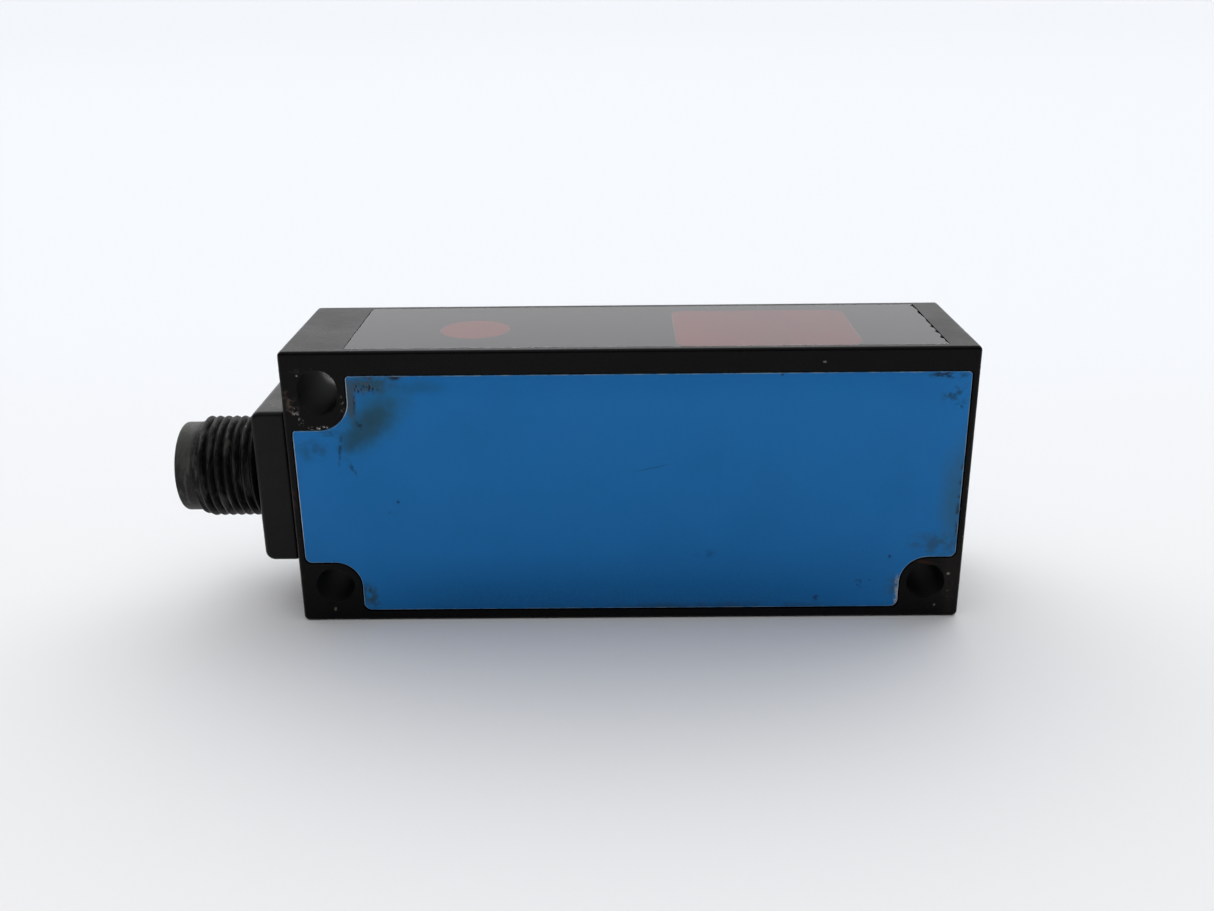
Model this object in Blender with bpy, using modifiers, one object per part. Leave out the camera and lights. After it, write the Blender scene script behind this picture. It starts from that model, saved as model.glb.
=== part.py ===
"""A compact photoelectric proximity sensor with a round M12 plug on one end.

The optical window faces +Z, the plug leaves towards -X and the setting controls sit in the +X end.
The origin is the middle of the housing's flat rear face, which is the face opposite the window.
Blender units are metres.
"""

import math

import bmesh
import bpy
from mathutils import Matrix, Vector

MM = 0.001

# Housing, the driving sizes
LENGTH = 76.4 * MM
THICKNESS = 20.3 * MM
HEIGHT = 32.6 * MM
HALF_LENGTH = LENGTH / 2
HALF_THICKNESS = THICKNESS / 2
EDGE_RADIUS = 0.5 * MM
END_WALL = 2.2 * MM
PLUG_WALL = 2.4 * MM
SIDE_WALL = 1.8 * MM
FLOOR_WALL = 2.6 * MM
FIT_GAP = 0.1 * MM
REST_GAP = 0.05 * MM
THROUGH = 1.0 * MM

# Mounting holes for M4 screws, right through the thickness
HOLE_RADIUS = 2.2 * MM
HOLE_END_INSET = 4.05 * MM
HOLE_LOW = 4.5 * MM
HOLE_HIGH = 27.9 * MM
SLOT_LENGTH = 5.2 * MM

# Side labels and the cover below one of them
LABEL_INSET = 0.85 * MM
LABEL_BOTTOM = 1.3 * MM
LABEL_TOP = 29.8 * MM
LABEL_RECESS = 0.35 * MM
LABEL_THICKNESS = 0.25 * MM
COVER_THICKNESS = 1.2 * MM
COVER_REBATE = 0.9 * MM

# Chamber inside the housing
CHAMBER_TOP = 28.4 * MM
CHAMBER_BACK = HALF_THICKNESS - SIDE_WALL
CHAMBER_FRONT = -HALF_THICKNESS + LABEL_RECESS + COVER_THICKNESS
BOSS_INNER = 8.6 * MM
LOW_STEP = 8.9 * MM
HIGH_STEP = 22.6 * MM

# Window stack under the top face
PANE_START = -31.15 * MM
PANE_END = 34.85 * MM
PANE_HALF_WIDTH = 9.15 * MM
PANE_THICKNESS = 1.5 * MM
MASK_THICKNESS = 0.3 * MM
LEDGE_Z = HEIGHT - PANE_THICKNESS - MASK_THICKNESS - 2 * REST_GAP
APERTURE_START = -29.4 * MM
APERTURE_END = 33.9 * MM
APERTURE_HALF_WIDTH = 8.3 * MM
FILTER_THICKNESS = 1.0 * MM

# Optics
SENDER_X = -17.65 * MM
SENDER_WINDOW_RADIUS = 4.0 * MM
SENDER_LENS_RADIUS = 4.45 * MM
SENDER_LENS_HEIGHT = 2.5 * MM
SENDER_TUBE_RADIUS = 5.6 * MM
RECEIVER_X = 15.6 * MM
RECEIVER_WINDOW = (20.6 * MM, 15.8 * MM)
RECEIVER_LENS = (19.2 * MM, 11.8 * MM)
RECEIVER_LENS_CURVE = 24.0 * MM
CARRIER_TOP = 29.3 * MM
CARRIER_PLATE = 1.5 * MM
CARRIER_HALF_WIDTH = 8.0 * MM
SLIDER_BOTTOM = 21.8 * MM
SLIDER_TOP = 25.4 * MM
SLIDER_LENGTH = 21.2 * MM
ROD_RADIUS = 0.6 * MM
ROD_Y = 6.2 * MM
ROD_Z = 23.4 * MM

# Setting controls in the +X end
SPINDLE_Z = 21.0 * MM
SELECTOR_Y = -4.2 * MM
SELECTOR_Z = 13.6 * MM
GUIDE_Y = 4.2 * MM
GUIDE_Z = 13.6 * MM
GUIDE_SIZE = (3.0 * MM, 6.0 * MM)
KNOB_RADIUS = 2.5 * MM
KNOB_LENGTH = 1.35 * MM
KNOB_FACE = HALF_LENGTH - 0.25 * MM
COUNTERBORE_RADIUS = 2.7 * MM
COUNTERBORE_FLOOR = 35.5 * MM
SPINDLE_RADIUS = 1.3 * MM
SEAL_RADIUS = 2.0 * MM
SEAL_CORD = 0.48 * MM

# Boards
BOARD_BOTTOM = 4.0 * MM
BOARD_TOP = 5.2 * MM
BOARD_HALF_WIDTH = 8.0 * MM
BOARD_START = -29.2 * MM
BOARD_END = 29.4 * MM
CONTROL_BOTTOM = 8.9 * MM
CONTROL_TOP = 9.9 * MM
BOARD_SCREWS = ((-26.5 * MM, 5.0 * MM), (26.5 * MM, -5.0 * MM))

# M12 plug and its flange block
PLUG_Z = 15.7 * MM
BLOCK_FACE = -42.4 * MM
BLOCK_BACK = -38.7 * MM
BLOCK_HALF_WIDTH = 7.5 * MM
BLOCK_HALF_HEIGHT = 8.95 * MM
BLOCK_RADIUS = 0.8 * MM
SPIGOT_RADIUS = 5.95 * MM
SPIGOT_END = -35.4 * MM
GASKET_THICKNESS = 0.4 * MM
THREAD_RADIUS = 6.0 * MM
THREAD_ROOT = 5.4 * MM
THREAD_PITCH = 1.0 * MM
THREAD_TURNS = 8
THREAD_FLAT = 0.12 * MM
NOSE_RADIUS = 5.25 * MM
NOSE_LENGTH = 2.1 * MM
PLUG_TIP = -53.0 * MM
SLEEVE_BORE = 4.3 * MM
SLEEVE_END = -39.0 * MM
SLEEVE_ROOT_RADIUS = 5.0 * MM
INSERT_FACE = -44.6 * MM
INSERT_BACK = -38.0 * MM
PIN_RADIUS = 0.5 * MM
PIN_CIRCLE = 2.5 * MM
PIN_TIP = -52.0 * MM
PIN_BACK = -36.4 * MM
WIRE_RADIUS = 0.45 * MM
FLANGE_SCREWS = ((5.5 * MM, 22.6 * MM), (-5.5 * MM, 8.8 * MM))

ROUND = 36
SMALL_ROUND = 16

ALONG_X = Matrix.Rotation(math.pi / 2, 4, "Y")
ALONG_Y = Matrix.Rotation(-math.pi / 2, 4, "X")
ALONG_Z = Matrix.Identity(4)


def start_empty():
    for obj in list(bpy.data.objects):
        bpy.data.objects.remove(obj)
    for name in ("photoelectric_sensor", "cutters"):
        bpy.context.scene.collection.children.link(bpy.data.collections.new(name))


def material(name, colour, roughness, metallic=0.0):
    made = bpy.data.materials.get(name)
    if made is None:
        made = bpy.data.materials.new(name)
        made.use_nodes = True
        shader = made.node_tree.nodes["Principled BSDF"]
        shader.inputs["Base Color"].default_value = (*colour, 1.0)
        shader.inputs["Roughness"].default_value = roughness
        shader.inputs["Metallic"].default_value = metallic
        made.diffuse_color = (*colour, 1.0)
    return made


def black_plastic():
    return material("black_plastic", (0.012, 0.012, 0.013), 0.45)


def blue_foil():
    return material("blue_foil", (0.014, 0.10, 0.28), 0.4)


def clear_acrylic():
    return material("clear_acrylic", (0.75, 0.75, 0.77), 0.05)


def red_acrylic():
    return material("red_acrylic", (0.35, 0.01, 0.02), 0.1)


def board_green():
    return material("board_green", (0.02, 0.12, 0.05), 0.5)


def chip_black():
    return material("chip_black", (0.02, 0.02, 0.022), 0.5)


def gold():
    return material("gold", (0.8, 0.55, 0.2), 0.25, 1.0)


def steel():
    return material("steel", (0.55, 0.55, 0.56), 0.3, 1.0)


def rubber():
    return material("rubber", (0.02, 0.02, 0.02), 0.8)


def wire_colour(index):
    colours = ((0.18, 0.07, 0.03), (0.8, 0.8, 0.78), (0.02, 0.08, 0.4), (0.03, 0.03, 0.03))
    return material(f"wire_{index}", colours[index - 1], 0.5)


def place(name, mesh, finish, helper=False):
    """A new object in the sensor's collection, or among the cutters."""
    obj = bpy.data.objects.new(name, mesh)
    bpy.data.collections["cutters" if helper else "photoelectric_sensor"].objects.link(obj)
    if helper:
        obj.hide_render = True
        obj.display_type = "WIRE"
    elif finish is not None:
        mesh.materials.append(finish)
    return obj


def add_bevel(obj, width, segments=2):
    bevel = obj.modifiers.new("rounded_edges", "BEVEL")
    bevel.width = width
    bevel.segments = segments
    bevel.limit_method = "ANGLE"


def box(name, low, high, finish=None, bevel=0.0, segments=2, helper=False):
    """A box between two corners, with its origin in its middle."""
    low, high = Vector(low), Vector(high)
    mesh = bpy.data.meshes.new(name)
    shape = bmesh.new()
    bmesh.ops.create_cube(shape, size=1.0)
    bmesh.ops.scale(shape, vec=high - low, verts=shape.verts)
    shape.to_mesh(mesh)
    shape.free()
    obj = place(name, mesh, finish, helper)
    obj.location = (low + high) / 2
    if bevel:
        add_bevel(obj, bevel, segments)
    return obj


def rod(name, radius, start, end, at, turn, finish=None, segments=ROUND, helper=False):
    """A cylinder from start to end along one axis; at gives its place on the other two."""
    mesh = bpy.data.meshes.new(name)
    shape = bmesh.new()
    bmesh.ops.create_cone(
        shape, cap_ends=True, segments=segments, radius1=radius, radius2=radius, depth=end - start
    )
    shape.to_mesh(mesh)
    shape.free()
    mesh.shade_smooth()
    mesh.set_sharp_from_angle(angle=math.radians(40))
    obj = place(name, mesh, finish, helper)
    obj.matrix_world = Matrix.Translation(on_axis(turn, (start + end) / 2, at)) @ turn
    return obj


def on_axis(turn, along, at):
    """The point at a distance along the X, Y or Z axis, offset by at on the other two."""
    if turn is ALONG_X:
        return Vector((along, *at))
    if turn is ALONG_Y:
        return Vector((at[0], along, at[1]))
    return Vector((*at, along))


def turned(name, profile, at, turn, finish=None, segments=ROUND, helper=False):
    """A solid turned round an axis. The profile is (radius, distance along the axis), far end first."""
    mesh = bpy.data.meshes.new(name)
    shape = bmesh.new()
    corners = [shape.verts.new((radius, 0.0, along)) for radius, along in profile]
    for first, second in zip(corners, corners[1:]):
        shape.edges.new((first, second))
    shape.to_mesh(mesh)
    shape.free()
    obj = place(name, mesh, finish, helper)
    obj.matrix_world = Matrix.Translation(on_axis(turn, 0.0, at)) @ turn
    screw = obj.modifiers.new("turned", "SCREW")
    screw.steps = segments
    screw.render_steps = segments
    screw.use_merge_vertices = True
    screw.merge_threshold = 0.00001
    screw.use_smooth_shade = True
    return obj


def rounded(corners, arc_steps=6):
    """An outline's points, from (x, z, radius) corners, with an arc in each corner that has a radius."""
    points = []
    for index, (x, z, radius) in enumerate(corners):
        corner = Vector((x, z))
        before = Vector(corners[index - 1][:2]) - corner
        after = Vector(corners[(index + 1) % len(corners)][:2]) - corner
        if radius == 0:
            points.append(corner)
            continue
        middle = corner + (before.normalized() + after.normalized()) * radius
        first = corner + before.normalized() * radius - middle
        last = corner + after.normalized() * radius - middle
        for step in range(arc_steps + 1):
            turn = step / arc_steps * math.pi / 2
            points.append(middle + first * math.cos(turn) + last * math.sin(turn))
    return points


def flat(name, points, start, end, finish=None, helper=False):
    """A plate with an outline in X and Z, from start to end along Y, made a mesh with welded caps."""
    curve = bpy.data.curves.new(name, "CURVE")
    curve.dimensions = "2D"
    curve.fill_mode = "BOTH"
    curve.extrude = (end - start) / 2
    spline = curve.splines.new("POLY")
    spline.points.add(len(points) - 1)
    for point, (x, z) in zip(spline.points, points):
        point.co = (x, z, 0.0, 1.0)
    spline.use_cyclic_u = True
    guide = bpy.data.objects.new(name + "_outline", curve)
    bpy.data.collections["cutters"].objects.link(guide)
    upright = Matrix.Rotation(math.pi / 2, 4, "X")
    guide.matrix_world = Matrix.Translation((0, (start + end) / 2, 0)) @ upright
    bpy.context.view_layer.update()
    graph = bpy.context.evaluated_depsgraph_get()
    mesh = bpy.data.meshes.new_from_object(guide.evaluated_get(graph))
    shape = bmesh.new()
    shape.from_mesh(mesh)
    bmesh.ops.remove_doubles(shape, verts=shape.verts, dist=0.000001)
    bmesh.ops.recalc_face_normals(shape, faces=shape.faces)
    shape.to_mesh(mesh)
    shape.free()
    obj = place(name, mesh, finish, helper)
    obj.matrix_world = guide.matrix_world
    bpy.data.objects.remove(guide)
    return obj


def combine(target, operation, *others):
    for other in others:
        boolean = target.modifiers.new(other.name, "BOOLEAN")
        boolean.operation = operation
        boolean.solver = "EXACT"
        boolean.object = other


def cut(target, *cutters):
    combine(target, "DIFFERENCE", *cutters)


def join(target, *additions):
    combine(target, "UNION", *additions)


def chamber_outline(grow, radius):
    """The housing's inner outline, which steps round its three screw bosses, grown by a margin."""
    left = -HALF_LENGTH + PLUG_WALL - grow
    right = HALF_LENGTH - END_WALL + grow
    boss_left = -HALF_LENGTH + BOSS_INNER - grow
    boss_right = HALF_LENGTH - BOSS_INNER + 0.3 * MM + grow
    bottom = FLOOR_WALL - grow
    top = CHAMBER_TOP + grow
    low_step = LOW_STEP - grow
    high_step = HIGH_STEP + grow
    right_step = LOW_STEP - 0.3 * MM - grow
    corners = (
        (boss_left, bottom), (boss_right, bottom), (boss_right, right_step), (right, right_step),
        (right, top), (boss_left, top), (boss_left, high_step), (left, high_step),
        (left, low_step), (boss_left, low_step),
    )
    return rounded([(x, z, radius) for x, z in corners], arc_steps=4)


def label_outline(grow):
    """The blue label's outline: a rectangle with a rounded notch round each screw hole."""
    left = -HALF_LENGTH + LABEL_INSET - grow
    right = HALF_LENGTH - LABEL_INSET + grow
    bottom = LABEL_BOTTOM - grow
    top = LABEL_TOP + grow
    low_left = -HALF_LENGTH + 7.2 * MM - grow
    low_right = HALF_LENGTH - 7.1 * MM + grow
    low_z_left = 7.4 * MM - grow
    low_z_right = 7.6 * MM - grow
    high_z = 23.55 * MM + grow
    return rounded(
        [
            (low_left, bottom, 0.9 * MM),
            (low_right, bottom, 0.9 * MM),
            (low_right, low_z_right, 3.2 * MM - grow),
            (right, low_z_right, 0.7 * MM + grow),
            (right, top, 0.5 * MM + grow),
            (low_left, top, 0.4 * MM + grow),
            (low_left, high_z, 3.4 * MM - grow),
            (left, high_z, 0.4 * MM + grow),
            (left, low_z_left, 0.8 * MM + grow),
            (low_left, low_z_left, 3.0 * MM - grow),
        ]
    )


def slot_outline(centre_x, centre_z, radius, length, steps=12):
    """An upright slot with round ends."""
    reach = length / 2 - radius
    points = []
    for side in (1, -1):
        for step in range(steps + 1):
            turn = step / steps * math.pi
            x = centre_x + side * radius * math.cos(turn)
            points.append((x, centre_z + side * (reach + radius * math.sin(turn))))
    return points


def make_housing():
    """A tub with its open side at -Y, three screw bosses, a window seat and holes at both ends."""
    housing = box(
        "housing",
        (-HALF_LENGTH, -HALF_THICKNESS, 0),
        (HALF_LENGTH, HALF_THICKNESS, HEIGHT),
        black_plastic(),
        bevel=EDGE_RADIUS,
        segments=3,
    )
    outside = HALF_THICKNESS + 1.0 * MM
    recess_floor = HALF_THICKNESS - LABEL_RECESS
    cut(
        housing,
        flat("chamber_cut", chamber_outline(0, 0.6 * MM), -outside, CHAMBER_BACK, helper=True),
        flat(
            "rebate_cut", chamber_outline(COVER_REBATE, 0.8 * MM), -outside,
            CHAMBER_FRONT + REST_GAP, helper=True,
        ),
        flat("near_label_cut", label_outline(FIT_GAP), -outside, -recess_floor, helper=True),
        flat("far_label_cut", label_outline(FIT_GAP), recess_floor, outside, helper=True),
        box(
            "aperture_cut",
            (APERTURE_START, -APERTURE_HALF_WIDTH, CHAMBER_TOP - 1.0 * MM),
            (APERTURE_END, APERTURE_HALF_WIDTH, LEDGE_Z + 0.5 * MM),
            helper=True,
        ),
        box(
            "pane_cut",
            (PANE_START, -PANE_HALF_WIDTH, LEDGE_Z),
            (PANE_END, PANE_HALF_WIDTH, HEIGHT + 1.0 * MM),
            helper=True,
        ),
    )
    join(housing, *control_bosses(), *board_posts())
    cut(housing, *screw_hole_cutters(), *plug_wall_cutters(), *control_cutters(), *post_cutters())


def control_bosses():
    """Short tubes inside the +X wall that guide the two turning controls."""
    inner = HALF_LENGTH - END_WALL
    return [
        rod(
            f"{name}_boss", 4.0 * MM, inner - 1.8 * MM, inner + 1.0 * MM, at, ALONG_X,
            segments=32, helper=True,
        )
        for name, at in (("spindle", (0, SPINDLE_Z)), ("selector", (SELECTOR_Y, SELECTOR_Z)))
    ]


def board_posts():
    return [
        rod(
            f"board_post_{index}", 2.0 * MM, FLOOR_WALL - 0.6 * MM, BOARD_BOTTOM - REST_GAP,
            at, ALONG_Z, segments=24, helper=True,
        )
        for index, at in enumerate(BOARD_SCREWS, 1)
    ]


def post_cutters():
    return [
        rod(
            f"post_bore_{index}", 0.95 * MM, 1.2 * MM, BOARD_BOTTOM + 0.5 * MM,
            at, ALONG_Z, segments=SMALL_ROUND, helper=True,
        )
        for index, at in enumerate(BOARD_SCREWS, 1)
    ]


def screw_hole_cutters():
    """Two round holes near the rear face and an upright slot near the window."""
    hole_x = HALF_LENGTH - HOLE_END_INSET
    reach = HALF_THICKNESS + 2.0 * MM
    round_holes = [
        rod(
            f"screw_hole_{side}", HOLE_RADIUS, -reach, reach, (x, HOLE_LOW), ALONG_Y,
            segments=32, helper=True,
        )
        for side, x in (("plug_end", -hole_x), ("control_end", hole_x))
    ]
    slot = slot_outline(-hole_x, HOLE_HIGH, HOLE_RADIUS, SLOT_LENGTH)
    return [*round_holes, flat("screw_slot", slot, -reach, reach, helper=True)]


def plug_wall_cutters():
    outside = -HALF_LENGTH - 1.0 * MM
    bore = rod(
        "spigot_bore", SPIGOT_RADIUS + 0.15 * MM, outside, -HALF_LENGTH + PLUG_WALL + 1.0 * MM,
        (0, PLUG_Z), ALONG_X, helper=True,
    )
    pilots = [
        rod(
            f"flange_pilot_{index}", 1.05 * MM, outside, -36.2 * MM, at, ALONG_X,
            segments=SMALL_ROUND, helper=True,
        )
        for index, at in enumerate(FLANGE_SCREWS, 1)
    ]
    return [bore, *pilots]


def control_cutters():
    outside = HALF_LENGTH + 1.0 * MM
    cutters = []
    for name, at in (("spindle", (0, SPINDLE_Z)), ("selector", (SELECTOR_Y, SELECTOR_Z))):
        cutters.append(
            rod(
                f"{name}_counterbore", COUNTERBORE_RADIUS, COUNTERBORE_FLOOR, outside, at, ALONG_X,
                segments=32, helper=True,
            )
        )
        cutters.append(
            rod(
                f"{name}_bore", 1.55 * MM, 33.0 * MM, outside, at, ALONG_X,
                segments=24, helper=True,
            )
        )
    half_width, half_height = GUIDE_SIZE[0] / 2 + FIT_GAP, GUIDE_SIZE[1] / 2 + FIT_GAP
    cutters.append(
        box(
            "guide_cut",
            (HALF_LENGTH - END_WALL - 1.0 * MM, GUIDE_Y - half_width, GUIDE_Z - half_height),
            (outside, GUIDE_Y + half_width, GUIDE_Z + half_height),
            helper=True,
        )
    )
    return cutters


def make_sides():
    """The cover that closes the tub and the foil labels on both wide sides."""
    recess_floor = HALF_THICKNESS - LABEL_RECESS
    flat(
        "side_cover", chamber_outline(COVER_REBATE - FIT_GAP, 0.7 * MM),
        -recess_floor, CHAMBER_FRONT, black_plastic(),
    )
    near = -recess_floor - REST_GAP
    flat("label_cover_side", label_outline(0), near - LABEL_THICKNESS, near, blue_foil())
    far = recess_floor + REST_GAP
    flat("label_housing_side", label_outline(0), far, far + LABEL_THICKNESS, blue_foil())


def make_window():
    """The acrylic pane, the black mask behind it and the red filter under the mask."""
    pane_bottom = HEIGHT - PANE_THICKNESS
    box(
        "window_pane",
        (PANE_START + REST_GAP, -PANE_HALF_WIDTH + REST_GAP, pane_bottom),
        (PANE_END - REST_GAP, PANE_HALF_WIDTH - REST_GAP, HEIGHT),
        clear_acrylic(),
        bevel=0.12 * MM,
        segments=1,
    )
    mask_top = pane_bottom - REST_GAP
    mask = box(
        "window_mask",
        (PANE_START + FIT_GAP, -PANE_HALF_WIDTH + FIT_GAP, mask_top - MASK_THICKNESS),
        (PANE_END - FIT_GAP, PANE_HALF_WIDTH - FIT_GAP, mask_top),
        material("mask_ink", (0.01, 0.01, 0.01), 0.6),
    )
    half_x, half_y = RECEIVER_WINDOW[0] / 2, RECEIVER_WINDOW[1] / 2
    cut(
        mask,
        rod(
            "sender_window", SENDER_WINDOW_RADIUS, mask_top - 1.0 * MM, mask_top + 1.0 * MM,
            (SENDER_X, 0), ALONG_Z, helper=True,
        ),
        box(
            "receiver_window",
            (RECEIVER_X - half_x, -half_y, mask_top - 1.0 * MM),
            (RECEIVER_X + half_x, half_y, mask_top + 1.0 * MM),
            helper=True,
        ),
    )
    filter_bottom = CARRIER_TOP + FIT_GAP
    box(
        "red_filter",
        (-24.0 * MM, -APERTURE_HALF_WIDTH + 0.2 * MM, filter_bottom),
        (31.0 * MM, APERTURE_HALF_WIDTH - 0.2 * MM, filter_bottom + FILTER_THICKNESS),
        red_acrylic(),
        bevel=0.1 * MM,
        segments=1,
    )


def make_optics_carrier():
    """The black moulding that holds the sender lens and the slide of the receiver lens."""
    plate_bottom = CARRIER_TOP - CARRIER_PLATE
    half = CARRIER_HALF_WIDTH
    carrier = box(
        "optics_carrier", (-29.1 * MM, -half, plate_bottom), (33.6 * MM, half, CARRIER_TOP),
        chip_black(),
    )
    into_plate = plate_bottom + 0.5 * MM
    additions = [
        rod(
            "sender_tube", SENDER_TUBE_RADIUS, 12.5 * MM, into_plate, (SENDER_X, 0), ALONG_Z,
            segments=32, helper=True,
        ),
        rod_wall("rod_wall_inner", 0.6 * MM, 2.0 * MM, into_plate),
        rod_wall("rod_wall_outer", 32.6 * MM, 33.6 * MM, into_plate),
    ]
    for side in (-1, 1):
        low_y, high_y = sorted((side * half, side * (half - 1.0 * MM)))
        additions.append(
            box(
                f"plug_leg_{side}", (-29.0 * MM, low_y, BOARD_TOP + 0.2 * MM),
                (-26.0 * MM, high_y, into_plate), helper=True,
            )
        )
        additions.append(
            box(
                f"control_leg_{side}", (29.4 * MM, low_y, CONTROL_TOP + FIT_GAP),
                (31.8 * MM, high_y, into_plate), helper=True,
            )
        )
    join(carrier, *additions)
    lens_seat = CARRIER_TOP - SENDER_LENS_HEIGHT - 2 * FIT_GAP
    cutters = [
        rod(
            "sender_bore", 3.8 * MM, 12.0 * MM, CARRIER_TOP + 1.0 * MM, (SENDER_X, 0), ALONG_Z,
            segments=32, helper=True,
        ),
        rod(
            "sender_seat", SENDER_LENS_RADIUS + FIT_GAP, lens_seat, CARRIER_TOP + 1.0 * MM,
            (SENDER_X, 0), ALONG_Z, segments=32, helper=True,
        ),
        box(
            "carriage_window", (3.2 * MM, -7.25 * MM, plate_bottom - 1.0 * MM),
            (28.0 * MM, 7.25 * MM, CARRIER_TOP + 1.0 * MM), helper=True,
        ),
        box(
            "spindle_notch", (32.0 * MM, -3.4 * MM, SLIDER_BOTTOM - 1.0 * MM),
            (34.0 * MM, 3.4 * MM, 24.2 * MM), helper=True,
        ),
    ]
    for side in (-1, 1):
        cutters.append(
            rod(
                f"rod_bore_{side}", ROD_RADIUS + FIT_GAP, 0.1 * MM, 34.0 * MM,
                (side * ROD_Y, ROD_Z), ALONG_X, segments=SMALL_ROUND, helper=True,
            )
        )
    cut(carrier, *cutters)


def rod_wall(name, start, end, top):
    """A cross wall of the carrier that holds one end of each guide rod."""
    return box(name, (start, -7.6 * MM, SLIDER_BOTTOM), (end, 7.6 * MM, top), helper=True)


def make_lenses():
    """A round plano-convex sender lens and a larger, rectangular receiver lens."""
    seat = CARRIER_TOP - SENDER_LENS_HEIGHT - FIT_GAP
    edge = 0.8 * MM
    sag = SENDER_LENS_HEIGHT - edge
    curve = (SENDER_LENS_RADIUS**2 + sag**2) / (2 * sag)
    widest = math.asin(SENDER_LENS_RADIUS / curve)
    centre = seat + SENDER_LENS_HEIGHT - curve
    dome = [
        (curve * math.sin(widest * step / 6), centre + curve * math.cos(widest * step / 6))
        for step in range(7)
    ]
    turned(
        "sender_lens", [*dome, (SENDER_LENS_RADIUS, seat), (0, seat)], (SENDER_X, 0), ALONG_Z,
        clear_acrylic(), segments=32,
    )
    lens_bottom = SLIDER_TOP + FIT_GAP
    half_x, half_y = RECEIVER_LENS[0] / 2, RECEIVER_LENS[1] / 2
    lens = box(
        "receiver_lens", (RECEIVER_X - half_x, -half_y, lens_bottom),
        (RECEIVER_X + half_x, half_y, lens_bottom + 4.0 * MM), clear_acrylic(),
    )
    mesh = bpy.data.meshes.new("lens_curve")
    ball = bmesh.new()
    bmesh.ops.create_uvsphere(ball, u_segments=48, v_segments=40, radius=RECEIVER_LENS_CURVE)
    ball.to_mesh(mesh)
    ball.free()
    curve_ball = place("lens_curve", mesh, None, helper=True)
    curve_ball.location = (RECEIVER_X, 0, lens_bottom + 3.3 * MM - RECEIVER_LENS_CURVE)
    combine(lens, "INTERSECT", curve_ball)


def make_lens_carriage():
    """The slide that carries the receiver lens, with a lug that the spindle drives."""
    start = RECEIVER_X - SLIDER_LENGTH / 2
    end = RECEIVER_X + SLIDER_LENGTH / 2
    carriage = box(
        "lens_carriage", (start, -7.5 * MM, SLIDER_BOTTOM), (end, 7.5 * MM, SLIDER_TOP), chip_black(),
    )
    join(
        carriage,
        box(
            "lens_holder", (start + 0.02 * MM, -6.9 * MM, SLIDER_TOP - 0.6 * MM),
            (end - 0.02 * MM, 6.9 * MM, 28.9 * MM), helper=True,
        ),
        box(
            "drive_arm", (end - 0.8 * MM, -2.6 * MM, 22.9 * MM), (31.0 * MM, 2.6 * MM, 25.0 * MM),
            helper=True,
        ),
        box(
            "drive_lug", (28.2 * MM, -2.55 * MM, 18.7 * MM), (30.95 * MM, 2.55 * MM, 24.0 * MM),
            helper=True,
        ),
    )
    pocket_x, pocket_y = RECEIVER_LENS[0] / 2 + FIT_GAP, RECEIVER_LENS[1] / 2 + FIT_GAP
    cutters = [
        box(
            "lens_pocket", (RECEIVER_X - pocket_x, -pocket_y, SLIDER_TOP),
            (RECEIVER_X + pocket_x, pocket_y, 30.0 * MM), helper=True,
        ),
        box(
            "light_opening", (RECEIVER_X - 9.0 * MM, -4.9 * MM, SLIDER_BOTTOM - 1.0 * MM),
            (RECEIVER_X + 9.0 * MM, 4.9 * MM, SLIDER_TOP + 1.0 * MM), helper=True,
        ),
        rod(
            "drive_bore", SPINDLE_RADIUS + 0.25 * MM, 27.0 * MM, 32.0 * MM, (0, SPINDLE_Z), ALONG_X,
            segments=24, helper=True,
        ),
    ]
    for side in (-1, 1):
        cutters.append(
            rod(
                f"slide_bore_{side}", ROD_RADIUS + 0.3 * MM, start - 1.0 * MM, end + 1.0 * MM,
                (side * ROD_Y, ROD_Z), ALONG_X, segments=SMALL_ROUND, helper=True,
            )
        )
    cut(carriage, *cutters)
    for side, name in ((-1, "guide_rod_near"), (1, "guide_rod_far")):
        rod(
            name, ROD_RADIUS, 0.7 * MM, 33.4 * MM, (side * ROD_Y, ROD_Z), ALONG_X,
            steel(), segments=SMALL_ROUND,
        )


def make_knob(name, at, shaft_radius, shaft_end, groove=None):
    """A slotted knob with its shaft, turned round its own joint axis."""
    back = KNOB_FACE - KNOB_LENGTH
    profile = [
        (0, KNOB_FACE), (KNOB_RADIUS - 0.3 * MM, KNOB_FACE), (KNOB_RADIUS, KNOB_FACE - 0.3 * MM),
        (KNOB_RADIUS, back), (shaft_radius, back),
    ]
    if groove is not None:
        neck = shaft_radius - 0.4 * MM
        profile += [
            (shaft_radius, groove[1]), (neck, groove[1]),
            (neck, groove[0]), (shaft_radius, groove[0]),
        ]
    profile += [(shaft_radius, shaft_end), (0, shaft_end)]
    finish = material("knob_white", (0.7, 0.7, 0.66), 0.4)
    knob = turned(name, profile, at, ALONG_X, finish, segments=32)
    slot = box(
        f"{name}_slot", (KNOB_FACE - 0.7 * MM, at[0] - 3.0 * MM, at[1] - 0.4 * MM),
        (KNOB_FACE + 0.5 * MM, at[0] + 3.0 * MM, at[1] + 0.4 * MM), helper=True,
    )
    cut(knob, slot)


def make_seal(name, at):
    """A rubber ring under a knob."""
    bpy.ops.mesh.primitive_torus_add(
        major_segments=24, minor_segments=8, major_radius=SEAL_RADIUS, minor_radius=SEAL_CORD
    )
    seal = bpy.context.object
    seal.name = name
    seal.data.materials.append(rubber())
    for group in list(seal.users_collection):
        group.objects.unlink(seal)
    bpy.data.collections["photoelectric_sensor"].objects.link(seal)
    middle = (COUNTERBORE_FLOOR + KNOB_FACE - KNOB_LENGTH) / 2
    seal.matrix_world = Matrix.Translation((middle, *at)) @ ALONG_X


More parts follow.
